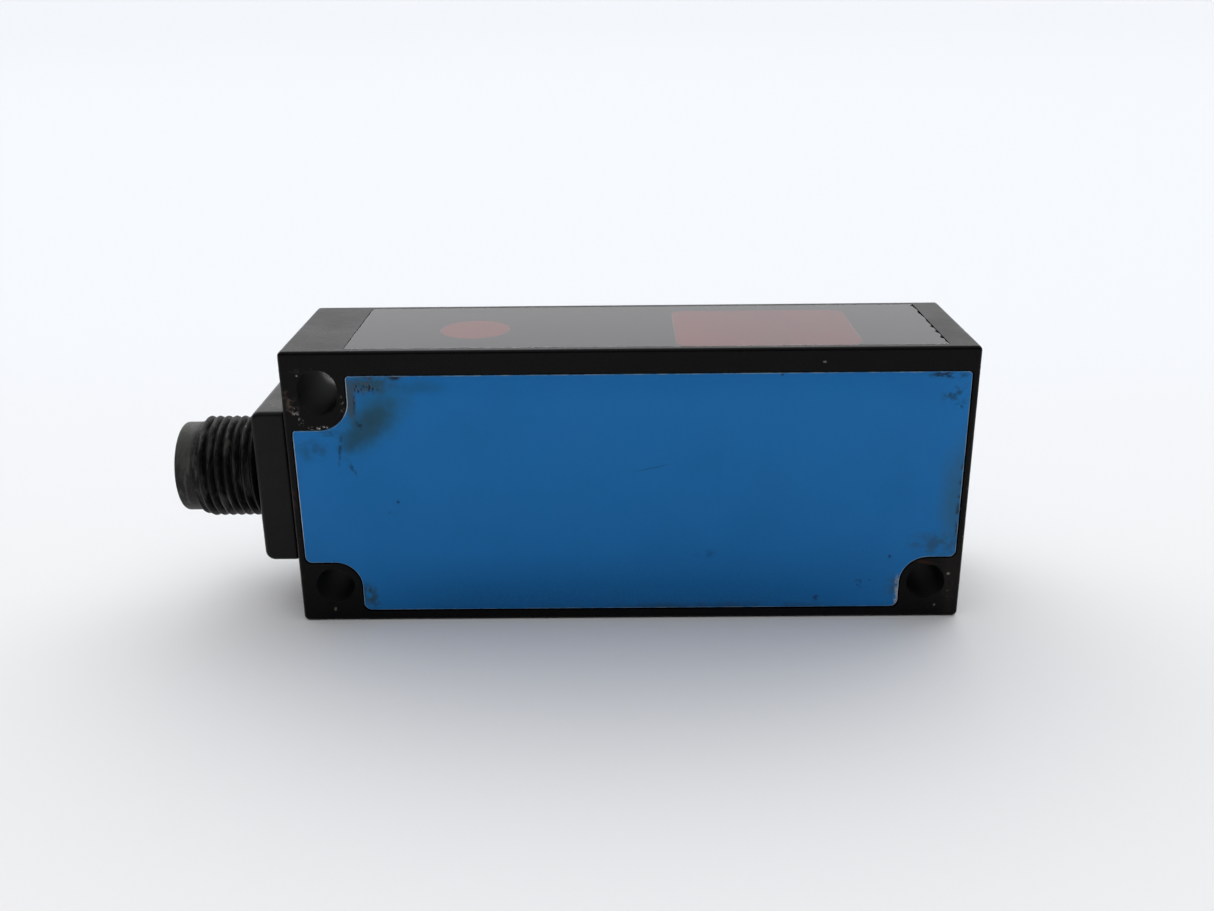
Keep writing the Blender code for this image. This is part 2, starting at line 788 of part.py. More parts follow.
def make_controls():
    """The range spindle, the light or dark selector, their seals, and the indicator lights."""
    make_knob(
        "range_adjuster", (0, SPINDLE_Z), SPINDLE_RADIUS, 27.7 * MM,
        groove=(33.35 * MM, 33.95 * MM),
    )
    make_seal("adjuster_seal", (0, SPINDLE_Z))
    clip = rod(
        "spindle_clip", 2.2 * MM, 33.4 * MM, 33.9 * MM, (0, SPINDLE_Z), ALONG_X, steel(), segments=28,
    )
    cut(
        clip,
        rod("clip_bore", 1.0 * MM, 33.0 * MM, 34.3 * MM, (0, SPINDLE_Z), ALONG_X, segments=20, helper=True),
        box(
            "clip_mouth", (33.0 * MM, -0.8 * MM, SPINDLE_Z - 3.0 * MM),
            (34.3 * MM, 0.8 * MM, SPINDLE_Z), helper=True,
        ),
    )
    make_knob("mode_selector", (SELECTOR_Y, SELECTOR_Z), 1.2 * MM, 30.9 * MM)
    make_seal("selector_seal", (SELECTOR_Y, SELECTOR_Z))
    switch = box(
        "mode_switch_body", (29.2 * MM, -6.8 * MM, CONTROL_TOP + FIT_GAP),
        (33.6 * MM, -1.6 * MM, 16.6 * MM), chip_black(), bevel=0.2 * MM, segments=1,
    )
    cut(
        switch,
        rod(
            "switch_bore", 1.4 * MM, 30.5 * MM, 34.5 * MM, (SELECTOR_Y, SELECTOR_Z), ALONG_X,
            segments=24, helper=True,
        ),
    )
    half_y, half_z = GUIDE_SIZE[0] / 2, GUIDE_SIZE[1] / 2
    box(
        "indicator_light_guide",
        (33.6 * MM, GUIDE_Y - half_y, GUIDE_Z - half_z),
        (HALF_LENGTH - REST_GAP, GUIDE_Y + half_y, GUIDE_Z + half_z),
        clear_acrylic(),
        bevel=0.2 * MM,
        segments=1,
    )
    box(
        "indicator_board", (29.8 * MM, 2.2 * MM, CONTROL_TOP + FIT_GAP), (30.6 * MM, 6.4 * MM, 17.0 * MM),
        board_green(),
    )
    for name, z, colour in (
        ("status_led_yellow", GUIDE_Z + 1.5 * MM, (0.8, 0.5, 0.05)),
        ("power_led_green", GUIDE_Z - 1.5 * MM, (0.1, 0.5, 0.15)),
    ):
        tip = 33.2 * MM
        turned(
            name,
            [
                (0, tip), (0.6 * MM, tip - 0.15 * MM), (1.0 * MM, tip - 0.8 * MM),
                (1.0 * MM, 30.7 * MM), (0, 30.7 * MM),
            ],
            (GUIDE_Y, z), ALONG_X, material(name, colour, 0.2), segments=SMALL_ROUND,
        )


def make_boards():
    """The main board on the housing's floor, the control board above its end, and their parts."""
    board = box(
        "main_board", (BOARD_START, -BOARD_HALF_WIDTH, BOARD_BOTTOM),
        (BOARD_END, BOARD_HALF_WIDTH, BOARD_TOP), board_green(),
    )
    cut(
        board,
        *[
            rod(
                f"board_hole_{index}", 1.0 * MM, BOARD_BOTTOM - 1.0 * MM, BOARD_TOP + 1.0 * MM,
                at, ALONG_Z, segments=SMALL_ROUND, helper=True,
            )
            for index, at in enumerate(BOARD_SCREWS, 1)
        ],
    )
    on_board = BOARD_TOP + FIT_GAP
    for index, at in enumerate(BOARD_SCREWS, 1):
        head_top = on_board + 1.1 * MM
        screw = turned(
            f"board_screw_{index}",
            [
                (0, head_top), (1.4 * MM, head_top), (1.7 * MM, head_top - 0.3 * MM),
                (1.7 * MM, on_board), (0.75 * MM, on_board), (0.75 * MM, 1.7 * MM), (0, 1.5 * MM),
            ],
            at, ALONG_Z, steel(), segments=SMALL_ROUND,
        )
        cut(
            screw,
            box(
                f"board_screw_slot_{index}", (at[0] - 3 * MM, at[1] - 0.25 * MM, head_top - 0.5 * MM),
                (at[0] + 3 * MM, at[1] + 0.25 * MM, head_top + 0.5 * MM), helper=True,
            ),
        )
    box(
        "control_board", (19.5 * MM, -7.6 * MM, CONTROL_BOTTOM), (34.0 * MM, 7.6 * MM, CONTROL_TOP),
        board_green(),
    )
    box(
        "board_link", (21.0 * MM, -4.0 * MM, on_board), (23.5 * MM, 4.0 * MM, CONTROL_BOTTOM - FIT_GAP),
        chip_black(),
    )
    box(
        "signal_processor", (-3.5 * MM, -4.0 * MM, on_board), (4.5 * MM, 4.0 * MM, on_board + 1.2 * MM),
        chip_black(), bevel=0.15 * MM, segments=1,
    )
    box(
        "receiver_diode", (9.5 * MM, -2.2 * MM, on_board), (14.0 * MM, 2.2 * MM, on_board + 1.8 * MM),
        chip_black(), bevel=0.2 * MM, segments=1,
    )
    box(
        "voltage_regulator", (-13.0 * MM, -6.0 * MM, on_board), (-8.6 * MM, -1.0 * MM, on_board + 1.7 * MM),
        chip_black(), bevel=0.15 * MM, segments=1,
    )
    for name, radius, height, at in (
        ("input_capacitor", 2.5 * MM, 6.0 * MM, (-22.9 * MM, -5.0 * MM)),
        ("output_capacitor", 2.0 * MM, 5.0 * MM, (-10.6 * MM, 4.5 * MM)),
    ):
        can = rod(name, radius, on_board, on_board + height, at, ALONG_Z, steel(), segments=24)
        add_bevel(can, 0.3 * MM, 1)
    dome_top = 9.8 * MM
    turned(
        "sender_led",
        [
            (0, dome_top), (0.8 * MM, dome_top - 0.25 * MM), (1.5 * MM, dome_top - 1.4 * MM),
            (1.5 * MM, on_board + 0.8 * MM), (1.9 * MM, on_board + 0.8 * MM),
            (1.9 * MM, on_board), (0, on_board),
        ],
        (SENDER_X, 0), ALONG_Z, red_acrylic(), segments=24,
    )
    box(
        "light_baffle", (-6.8 * MM, -7.9 * MM, BOARD_TOP + 0.2 * MM), (-5.8 * MM, 7.9 * MM, 27.7 * MM),
        chip_black(),
    )


def make_flange_block():
    """The square block on the plug end, with a spigot into the housing, and its flat gasket."""
    block = box(
        "connector_block",
        (BLOCK_FACE, -BLOCK_HALF_WIDTH, PLUG_Z - BLOCK_HALF_HEIGHT),
        (BLOCK_BACK, BLOCK_HALF_WIDTH, PLUG_Z + BLOCK_HALF_HEIGHT),
        black_plastic(),
        bevel=BLOCK_RADIUS,
        segments=3,
    )
    join(block, plug_bore("spigot", SPIGOT_RADIUS, BLOCK_BACK - 1.0 * MM, SPIGOT_END))
    outside = BLOCK_FACE - 1.0 * MM
    cut(
        block,
        plug_bore("block_bore", SLEEVE_BORE + REST_GAP, outside, -34.0 * MM),
        plug_bore("sleeve_seat", SLEEVE_ROOT_RADIUS + FIT_GAP, outside, SLEEVE_END + FIT_GAP),
        *flange_bores("flange_head_bore", 1.9 * MM, outside, -40.8 * MM),
        *flange_bores("flange_bore", 1.1 * MM, outside, -38.0 * MM),
    )
    make_gasket()
    for index, at in enumerate(FLANGE_SCREWS, 1):
        make_flange_screw(index, at)


def plug_bore(name, radius, start, end):
    return rod(name, radius, start, end, (0, PLUG_Z), ALONG_X, helper=True)


def flange_bores(name, radius, start, end):
    return [
        rod(f"{name}_{index}", radius, start, end, at, ALONG_X, segments=24, helper=True)
        for index, at in enumerate(FLANGE_SCREWS, 1)
    ]


def make_gasket():
    gasket_start = BLOCK_BACK + REST_GAP
    half_width = BLOCK_HALF_WIDTH - 0.5 * MM
    half_height = BLOCK_HALF_HEIGHT - 0.5 * MM
    gasket = box(
        "block_gasket",
        (gasket_start, -half_width, PLUG_Z - half_height),
        (gasket_start + GASKET_THICKNESS, half_width, PLUG_Z + half_height),
        rubber(),
    )
    cut(
        gasket,
        plug_bore("gasket_bore", SPIGOT_RADIUS + 0.2 * MM, -40.0 * MM, -37.0 * MM),
        *flange_bores("gasket_hole", 1.2 * MM, -40.0 * MM, -37.0 * MM),
    )


def make_flange_screw(index, at):
    head = -42.2 * MM
    under = -40.9 * MM
    screw = turned(
        f"flange_screw_{index}",
        [
            (0, -36.5 * MM), (0.9 * MM, -36.8 * MM), (0.9 * MM, under), (1.7 * MM, under),
            (1.7 * MM, head + 0.3 * MM), (1.4 * MM, head), (0, head),
        ],
        at, ALONG_X, steel(), segments=24,
    )
    for name, half_y, half_z in (("flat", 1.1 * MM, 0.25 * MM), ("upright", 0.25 * MM, 1.1 * MM)):
        low = (head - 1.0 * MM, at[0] - half_y, at[1] - half_z)
        high = (head + 0.7 * MM, at[0] + half_y, at[1] + half_z)
        cut(screw, box(f"{name}_recess_{index}", low, high, helper=True))


def make_threaded_sleeve():
    """The M12 sleeve: a plain nose, a ringed thread and a root that is pressed into the block."""
    thread_start = PLUG_TIP + NOSE_LENGTH
    bore = SLEEVE_BORE
    profile = [(bore, SLEEVE_END), (SLEEVE_ROOT_RADIUS, SLEEVE_END)]
    profile.append((SLEEVE_ROOT_RADIUS, BLOCK_FACE - REST_GAP))
    profile.append((THREAD_ROOT, BLOCK_FACE - REST_GAP))
    profile.append((THREAD_ROOT, thread_start + THREAD_TURNS * THREAD_PITCH))
    for turn in reversed(range(THREAD_TURNS)):
        crest = thread_start + (turn + 0.5) * THREAD_PITCH
        profile += [
            (THREAD_RADIUS, crest + THREAD_FLAT),
            (THREAD_RADIUS, crest - THREAD_FLAT),
            (THREAD_ROOT, crest - THREAD_PITCH / 2),
        ]
    profile += [
        (NOSE_RADIUS, thread_start), (NOSE_RADIUS, PLUG_TIP + 0.4 * MM), (NOSE_RADIUS - 0.3 * MM, PLUG_TIP),
        (bore + 0.2 * MM, PLUG_TIP), (bore, PLUG_TIP + 0.2 * MM), (bore, SLEEVE_END),
    ]
    sleeve = turned("threaded_sleeve", profile, (0, PLUG_Z), ALONG_X, black_plastic())
    join(
        sleeve,
        box(
            "coding_key", (PLUG_TIP + 0.8 * MM, -0.5 * MM, PLUG_Z + bore - 0.8 * MM),
            (INSERT_FACE - FIT_GAP, 0.5 * MM, PLUG_Z + bore + 0.4 * MM), helper=True,
        ),
    )


def pin_places():
    """The four contacts, a quarter turn apart, as (Y, Z)."""
    for quarter in range(4):
        turn = math.radians(45 + 90 * quarter)
        yield PIN_CIRCLE * math.cos(turn), PLUG_Z + PIN_CIRCLE * math.sin(turn)


def make_contacts():
    insert = rod(
        "contact_insert", SLEEVE_BORE - FIT_GAP, INSERT_FACE, INSERT_BACK, (0, PLUG_Z), ALONG_X,
        chip_black(),
    )
    for index, at in enumerate(pin_places(), 1):
        cut(
            insert,
            rod(
                f"contact_bore_{index}", PIN_RADIUS + FIT_GAP,
                INSERT_FACE - THROUGH, INSERT_BACK + THROUGH,
                at, ALONG_X, segments=SMALL_ROUND, helper=True,
            ),
        )
        turned(
            f"contact_pin_{index}",
            [
                (0, PIN_BACK), (PIN_RADIUS, PIN_BACK), (PIN_RADIUS, PIN_TIP + 0.5 * MM),
                (PIN_RADIUS * 0.6, PIN_TIP + 0.1 * MM), (0, PIN_TIP),
            ],
            at, ALONG_X, gold(), segments=16,
        )


def make_lead_wires():
    """Four short leads from the contacts down to the main board's end."""
    pads = ((-27.2, 2.6), (-27.2, -2.6), (-28.3, -1.0), (-28.3, 1.0))
    for index, (at, pad) in enumerate(zip(pin_places(), pads), 1):
        start = Vector((PIN_BACK + REST_GAP, *at))
        end = Vector((pad[0] * MM, pad[1] * MM, BOARD_TOP + FIT_GAP))
        leave = start + Vector((5.5 * MM, 0, 0))
        arrive = end + Vector((0, 0, 6.0 * MM))
        curve = bpy.data.curves.new(f"lead_wire_{index}", "CURVE")
        curve.dimensions = "3D"
        curve.bevel_depth = WIRE_RADIUS
        curve.bevel_resolution = 2
        curve.use_fill_caps = True
        spline = curve.splines.new("POLY")
        steps = 10
        spline.points.add(steps)
        for step in range(steps + 1):
            along = step / steps
            back = 1 - along
            point = start * back**3 + leave * 3 * back**2 * along
            point += arrive * 3 * back * along**2 + end * along**3
            spline.points[step].co = (*point, 1.0)
        place(f"lead_wire_{index}", curve, wire_colour(index))


def main():
    start_empty()
    make_housing()
    make_sides()
    make_window()
    make_optics_carrier()
    make_lenses()
    make_lens_carriage()
    make_controls()
    make_boards()
    make_flange_block()
    make_threaded_sleeve()
    make_contacts()
    make_lead_wires()


main()
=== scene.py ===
import math

import bmesh
import bpy
from mathutils import Matrix, Vector, noise


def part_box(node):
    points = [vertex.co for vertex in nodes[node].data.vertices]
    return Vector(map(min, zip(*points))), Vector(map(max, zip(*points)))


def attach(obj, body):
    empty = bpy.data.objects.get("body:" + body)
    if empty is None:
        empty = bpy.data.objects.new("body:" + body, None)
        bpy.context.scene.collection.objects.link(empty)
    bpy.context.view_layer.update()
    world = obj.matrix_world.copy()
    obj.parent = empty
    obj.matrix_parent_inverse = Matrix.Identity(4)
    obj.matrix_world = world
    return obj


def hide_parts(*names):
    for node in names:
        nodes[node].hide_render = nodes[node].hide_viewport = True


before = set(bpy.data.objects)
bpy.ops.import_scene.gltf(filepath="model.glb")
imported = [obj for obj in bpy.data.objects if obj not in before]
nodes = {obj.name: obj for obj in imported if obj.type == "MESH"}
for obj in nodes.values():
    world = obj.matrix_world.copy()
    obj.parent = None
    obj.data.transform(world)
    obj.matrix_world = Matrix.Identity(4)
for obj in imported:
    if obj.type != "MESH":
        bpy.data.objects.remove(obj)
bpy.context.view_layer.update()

mm = 0.001
mainBody = "housing_body"


def deselectAll():
    if bpy.context.object and bpy.context.object.mode == "EDIT":
        bpy.ops.object.mode_set(mode="OBJECT")
    bpy.ops.object.select_all(action="DESELECT")


def makeActive(obj):
    deselectAll()
    obj.select_set(True)
    bpy.context.view_layer.objects.active = obj


def editStart(obj, mode="FACE"):
    makeActive(obj)
    bpy.ops.object.mode_set(mode="EDIT")
    bpy.ops.mesh.select_mode(type=mode)
    bpy.ops.mesh.select_all(action="DESELECT")
    return bmesh.from_edit_mesh(obj.data)


def editEnd():
    bpy.ops.object.mode_set(mode="OBJECT")


def pick(obj, parts, test):
    # selects the faces, edges or verts of an edit mesh that pass a test
    for part in parts:
        part.select_set(bool(test(part)))
    bmesh.update_edit_mesh(obj.data)


def middle(part):
    return sum((v.co for v in part.verts), Vector()) / len(part.verts)


def settle(obj):
    # puts the object's place into its mesh
    makeActive(obj)
    bpy.ops.object.transform_apply(location=True, rotation=True, scale=True)
    return obj


def addBox(name, low, high):
    # a box between two corners, in millimetres
    low, high = Vector([v * mm for v in low]), Vector([v * mm for v in high])
    deselectAll()
    bpy.ops.mesh.primitive_cube_add(size=1, location=(low + high) / 2)
    obj = bpy.context.object
    obj.name = name
    obj.data.name = name
    obj.scale = high - low
    return settle(obj)


def addRod(name, radius, start, end, at, axis="X", sides=64):
    # a cylinder along one axis, in millimetres, with its centre line at the other two coordinates
    start, end, at = start * mm, end * mm, [v * mm for v in at]
    half = (start + end) / 2
    place = {"X": (half, *at), "Y": (at[0], half, at[1]), "Z": (*at, half)}[axis]
    turn = {"X": (0, math.pi / 2, 0), "Y": (math.pi / 2, 0, 0), "Z": (0, 0, 0)}[axis]
    deselectAll()
    bpy.ops.mesh.primitive_cylinder_add(
        vertices=sides, radius=radius * mm, depth=end - start, location=place, rotation=turn)
    obj = bpy.context.object
    obj.name = name
    obj.data.name = name
    return settle(obj)


def applyAll(obj):
    makeActive(obj)
    for modifier in list(obj.modifiers):
        bpy.ops.object.modifier_apply(modifier=modifier.name)


def combine(target, tool, how="DIFFERENCE"):
    boolean = target.modifiers.new(how.lower(), "BOOLEAN")
    boolean.operation = how
    boolean.solver = "EXACT"
    boolean.object = tool
    applyAll(target)
    bpy.data.objects.remove(tool)


def cutAll(target, *tools):
    for tool in tools:
        combine(target, tool)


def roundEdges(obj, width, segments=2, angle=50):
    bevel = obj.modifiers.new("edges", "BEVEL")
    bevel.width = width * mm
    bevel.segments = segments
    bevel.limit_method = "ANGLE"
    bevel.angle_limit = math.radians(angle)
    bevel.miter_outer = "MITER_ARC"
    bevel.use_clamp_overlap = True
    bevel.loop_slide = False
    applyAll(obj)


def cleanUp(obj):
    # welds the slivers that a Boolean leaves
    editStart(obj, "VERT")
    bpy.ops.mesh.select_all(action="SELECT")
    bpy.ops.mesh.remove_doubles(threshold=0.002 * mm)
    editEnd()


def smooth(obj, angle=38):
    makeActive(obj)
    bpy.ops.object.shade_smooth_by_angle(angle=math.radians(angle))
    # weighted normals keep the broad faces flat beside their rounds
    weighted = obj.modifiers.new("weightedNormals", "WEIGHTED_NORMAL")
    weighted.mode = "FACE_AREA"
    weighted.weight = 100
    weighted.keep_sharp = True
    applyAll(obj)


def bevelEdges(obj, test, width, segments):
    mesh = editStart(obj, "EDGE")
    pick(obj, mesh.edges, test)
    bpy.ops.mesh.bevel(offset=width * mm, segments=segments, affect="EDGES")
    editEnd()


def along(axis):
    # a test for edges that run along one axis
    def test(edge):
        run = (edge.verts[0].co - edge.verts[1].co).normalized()
        return abs(run[axis]) > 0.99
    return test


def liesAt(axis, place, near=0.001):
    # a test for edges that lie at one place on an axis, in millimetres
    return lambda edge: all(abs(v.co[axis] - place * mm) < near * mm for v in edge.verts)


def dress(obj, material, body=mainBody, replaces=()):
    if not obj.data.materials:
        obj.data.materials.append(material)
    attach(obj, body)
    if replaces:
        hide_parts(*replaces)
    return obj


def newMaterial(name):
    material = bpy.data.materials.new(name)
    material.use_nodes = True
    tree = material.node_tree
    return material, tree, tree.nodes["Principled BSDF"]


def objectSpace(tree):
    return tree.nodes.new("ShaderNodeTexCoord").outputs["Object"]


def spotAxes(tree):
    # the X, Y and Z of the shaded point
    split = tree.nodes.new("ShaderNodeSeparateXYZ")
    tree.links.new(objectSpace(tree), split.inputs[0])
    return split.outputs


def feed(tree, node, index, value):
    # a number goes straight on the socket, anything else is a link
    if isinstance(value, (int, float)):
        node.inputs[index].default_value = value
    else:
        tree.links.new(value, node.inputs[index])


def maths(tree, operation, first, second=0.0):
    node = tree.nodes.new("ShaderNodeMath")
    node.operation = operation
    feed(tree, node, 0, first)
    feed(tree, node, 1, second)
    return node.outputs[0]


def remap(tree, value, fromLow, fromHigh, toLow=0.0, toHigh=1.0):
    node = tree.nodes.new("ShaderNodeMapRange")
    node.interpolation_type = "SMOOTHSTEP"
    feed(tree, node, 0, value)
    for index, number in enumerate((fromLow, fromHigh, toLow, toHigh), 1):
        node.inputs[index].default_value = number
    return node.outputs[0]


def noiseField(tree, scale, detail=3.0, roughness=0.5, stretch=(1, 1, 1), distortion=0.0):
    mapping = tree.nodes.new("ShaderNodeMapping")
    mapping.inputs["Scale"].default_value = stretch
    tree.links.new(objectSpace(tree), mapping.inputs["Vector"])
    node = tree.nodes.new("ShaderNodeTexNoise")
    tree.links.new(mapping.outputs[0], node.inputs["Vector"])
    node.inputs["Scale"].default_value = scale
    node.inputs["Detail"].default_value = detail
    node.inputs["Roughness"].default_value = roughness
    node.inputs["Distortion"].default_value = distortion
    return node.outputs["Fac"]


def specks(tree, scale, size, share):
    # sparse round dots, share is how many of the cells hold one
    node = tree.nodes.new("ShaderNodeTexVoronoi")
    tree.links.new(objectSpace(tree), node.inputs["Vector"])
    node.inputs["Scale"].default_value = scale
    dot = remap(tree, node.outputs["Distance"], size, size * 0.5)
    split = tree.nodes.new("ShaderNodeSeparateColor")
    tree.links.new(node.outputs["Color"], split.inputs[0])
    chosen = maths(tree, "LESS_THAN", split.outputs[0], share)
    return maths(tree, "MULTIPLY", dot, chosen)


def blot(tree, centre, reach, turn=0.0, fade=0.6, rag=0.0, ragScale=900):
    # a soft patch round a point, in millimetres, with a ragged edge if asked
    mapping = tree.nodes.new("ShaderNodeMapping")
    mapping.vector_type = "TEXTURE"
    mapping.inputs["Location"].default_value = [c * mm for c in centre]
    mapping.inputs["Rotation"].default_value = (0, math.radians(turn), 0)
    mapping.inputs["Scale"].default_value = [r * mm for r in reach]
    tree.links.new(objectSpace(tree), mapping.inputs["Vector"])
    length = tree.nodes.new("ShaderNodeVectorMath")
    length.operation = "LENGTH"
    tree.links.new(mapping.outputs[0], length.inputs[0])
    distance = length.outputs["Value"]
    if rag:
        wobble = maths(tree, "SUBTRACT", noiseField(tree, ragScale, 4.0, 0.6), 0.5)
        distance = maths(tree, "ADD", distance, maths(tree, "MULTIPLY", wobble, rag))
    return remap(tree, distance, 1.0, 1.0 - fade)


def tint(tree, below, colour, amount, share=None):
    # lays a colour over another by a mask, which the share thins
    if share is not None:
        amount = maths(tree, "MULTIPLY", amount, share)
    node = tree.nodes.new("ShaderNodeMix")
    node.data_type = "RGBA"
    if isinstance(amount, (int, float)):
        node.inputs["Factor"].default_value = amount
    else:
        tree.links.new(amount, node.inputs["Factor"])
    for socket, value in ((node.inputs[6], below), (node.inputs[7], colour)):
        if isinstance(value, tuple):
            socket.default_value = (*value, 1.0)
        else:
            tree.links.new(value, socket)
    return node.outputs[2]


def bump(tree, shader, height, distance, after=None):
    node = tree.nodes.new("ShaderNodeBump")
    node.inputs["Strength"].default_value = 1.0
    node.inputs["Distance"].default_value = distance
    tree.links.new(height, node.inputs["Height"])
    if after:
        tree.links.new(after, node.inputs["Normal"])
    tree.links.new(node.outputs[0], shader.inputs["Normal"])
    return node.outputs[0]


def mouldedBlack(name, look):
    # moulded black plastic with grain, dust and patches: handling marks, and on the plug block a painted sheen
    material, tree, shader = newMaterial(name)
    cloud = remap(tree, noiseField(tree, look["cloudScale"], 4.0, 0.6), 0.35, 0.75)
    colour = tint(tree, look["colour"], look["bloom"], cloud, look["bloomAmount"])
    fine = remap(tree, noiseField(tree, 5200, 2.0, 0.6), 0.3, 0.8)
    colour = tint(tree, colour, look["dust"], fine, look["dustAmount"])
    colour = tint(tree, colour, look["speck"], specks(tree, look["speckScale"], 0.12, look["speckShare"]))
    for patch in look["patches"]:
        colour = tint(tree, colour, patch["colour"], patchMask(tree, patch))
    tree.links.new(colour, shader.inputs["Base Color"])
    rough = remap(tree, noiseField(tree, look["cloudScale"] * 1.7, 4.0, 0.6), 0.3, 0.7, *look["rough"])
    tree.links.new(rough, shader.inputs["Roughness"])
    shader.inputs["Specular IOR Level"].default_value = look["gloss"]
    grain = bump(tree, shader, noiseField(tree, look["grainScale"], 3.0, 0.55), look["grainDepth"])
    bump(tree, shader, noiseField(tree, 60, 1.0, 0.4), look["wave"], after=grain)
    return material


def mark(x, z, wide, tall, colour, y=-10.1, deep=2.0, **more):
    # one patch of colour, with its centre and half sizes in millimetres: mostly wear and dust, in a few places a
    # painted highlight
    return {"at": (x, y, z), "reach": (wide, deep, tall), "colour": colour, **more}


def patchMask(tree, patch):
    turn, fade, rag = patch.get("turn", 0), patch.get("fade", 0.6), patch.get("rag", 0.0)
    mask = blot(tree, patch["at"], patch["reach"], turn, fade, rag)
    if patch.get("breakUp"):
        scale, low, high = patch["breakUp"]
        field = noiseField(tree, scale, 5.0, 0.65, patch.get("stretch", (1, 1, 1)))
        mask = maths(tree, "MULTIPLY", mask, remap(tree, field, low, high))
    return maths(tree, "MULTIPLY", mask, patch.get("amount", 1.0))


view = {
    "at": (-0.001446, -0.139545, 0.068937), "down": 20.573, "left": 0.465, "roll": -0.626, "lens": 36.81,
    "film": 36, "nearest": 0.005, "farthest": 50,
    # the near and far floor tones paint light: the floor is made paler towards the back
    "floorSize": 60.0, "floorNear": (0.86, 0.862, 0.862), "floorFar": (0.88, 0.90, 0.925),
    "floorTurn": (-0.05, 0.15), "floorRough": 0.9, "floorGloss": 0.05,
    "skyTone": (0.98, 0.985, 1.0), "skyFront": 0.15, "skyBack": 1.95, "backFrom": (-0.2, 0.85),
    "skyLow": 0.52, "skyHigh": 1.75, "riseFrom": (0.30, 0.60), "skyTop": 1.03, "topFrom": (0.6, 0.98),
    "backdrop": 0.93, "lampTone": (1.0, 0.985, 0.96),
    "lamps": (("overheadSoftbox", (1.6, 1.2), 1.2, (-0.3, 0.3, 1.5), (0, 0, 0)),),
}


def setCamera():
    data = bpy.data.cameras.new("camera")
    data.lens = view["lens"]
    data.sensor_width = view["film"]
    data.clip_start = view["nearest"]
    data.clip_end = view["farthest"]
    camera = bpy.data.objects.new("camera", data)
    bpy.context.scene.collection.objects.link(camera)
    tilt = Matrix.Rotation(math.radians(90 - view["down"]), 4, "X")
    turn = Matrix.Rotation(math.radians(view["left"]), 4, "Z")
    roll = Matrix.Rotation(math.radians(view["roll"]), 4, "Z")
    camera.matrix_world = Matrix.Translation(view["at"]) @ turn @ tilt @ roll
    bpy.context.scene.camera = camera


def setFloor():
    deselectAll()
    bpy.ops.mesh.primitive_plane_add(size=view["floorSize"])
    floor = bpy.context.object
    floor.name = "studioFloor"
    material, tree, shader = newMaterial("studioPaper")
    # painted light: the floor's colour brightens from the near tone in front to the far tone behind, standing in
    # for the stronger light from the back
    far = remap(tree, spotAxes(tree)[1], *view["floorTurn"])
    tree.links.new(tint(tree, view["floorNear"], view["floorFar"], far), shader.inputs["Base Color"])
    shader.inputs["Roughness"].default_value = view["floorRough"]
    shader.inputs["Specular IOR Level"].default_value = view["floorGloss"]
    floor.data.materials.append(material)


def setLights():
    world = bpy.data.worlds.new("studioSky")
    bpy.context.scene.world = world
    world.use_nodes = True
    tree = world.node_tree
    sky = tree.nodes["Background"]
    sky.inputs["Color"].default_value = (*view["skyTone"], 1)
    split = tree.nodes.new("ShaderNodeSeparateXYZ")
    tree.links.new(tree.nodes.new("ShaderNodeTexCoord").outputs["Generated"], split.inputs[0])
    _, back, up = split.outputs
    behind = remap(tree, back, *view["backFrom"], view["skyFront"], view["skyBack"])
    rise = remap(tree, up, *view["riseFrom"], view["skyLow"], view["skyHigh"])
    power = tree.nodes.new("ShaderNodeMix")
    tree.links.new(remap(tree, up, *view["topFrom"]), power.inputs["Factor"])
    tree.links.new(maths(tree, "MULTIPLY", behind, rise), power.inputs[2])
    power.inputs[3].default_value = view["skyTop"]
    # the gradient only lights the object: seen directly, above the horizon, the studio is one pale tone
    seen = tree.nodes.new("ShaderNodeMix")
    tree.links.new(tree.nodes.new("ShaderNodeLightPath").outputs["Is Camera Ray"], seen.inputs["Factor"])
    tree.links.new(power.outputs[0], seen.inputs[2])
    seen.inputs[3].default_value = view["backdrop"]
    tree.links.new(seen.outputs[0], sky.inputs["Strength"])
    for name, size, power, at, aim in view["lamps"]:
        data = bpy.data.lights.new(name, "AREA")
        data.shape = "RECTANGLE"
        data.size, data.size_y = size
        data.energy = power
        data.color = view["lampTone"]
        lamp = bpy.data.objects.new(name, data)
        bpy.context.scene.collection.objects.link(lamp)
        lamp.location = at
        lamp.rotation_euler = (Vector(aim) - Vector(at)).to_track_quat("-Z", "Y").to_euler()


bpy.context.scene.view_settings.view_transform = "Standard"
setCamera()
setFloor()
setLights()
print("stage: camera, floor and lights set")


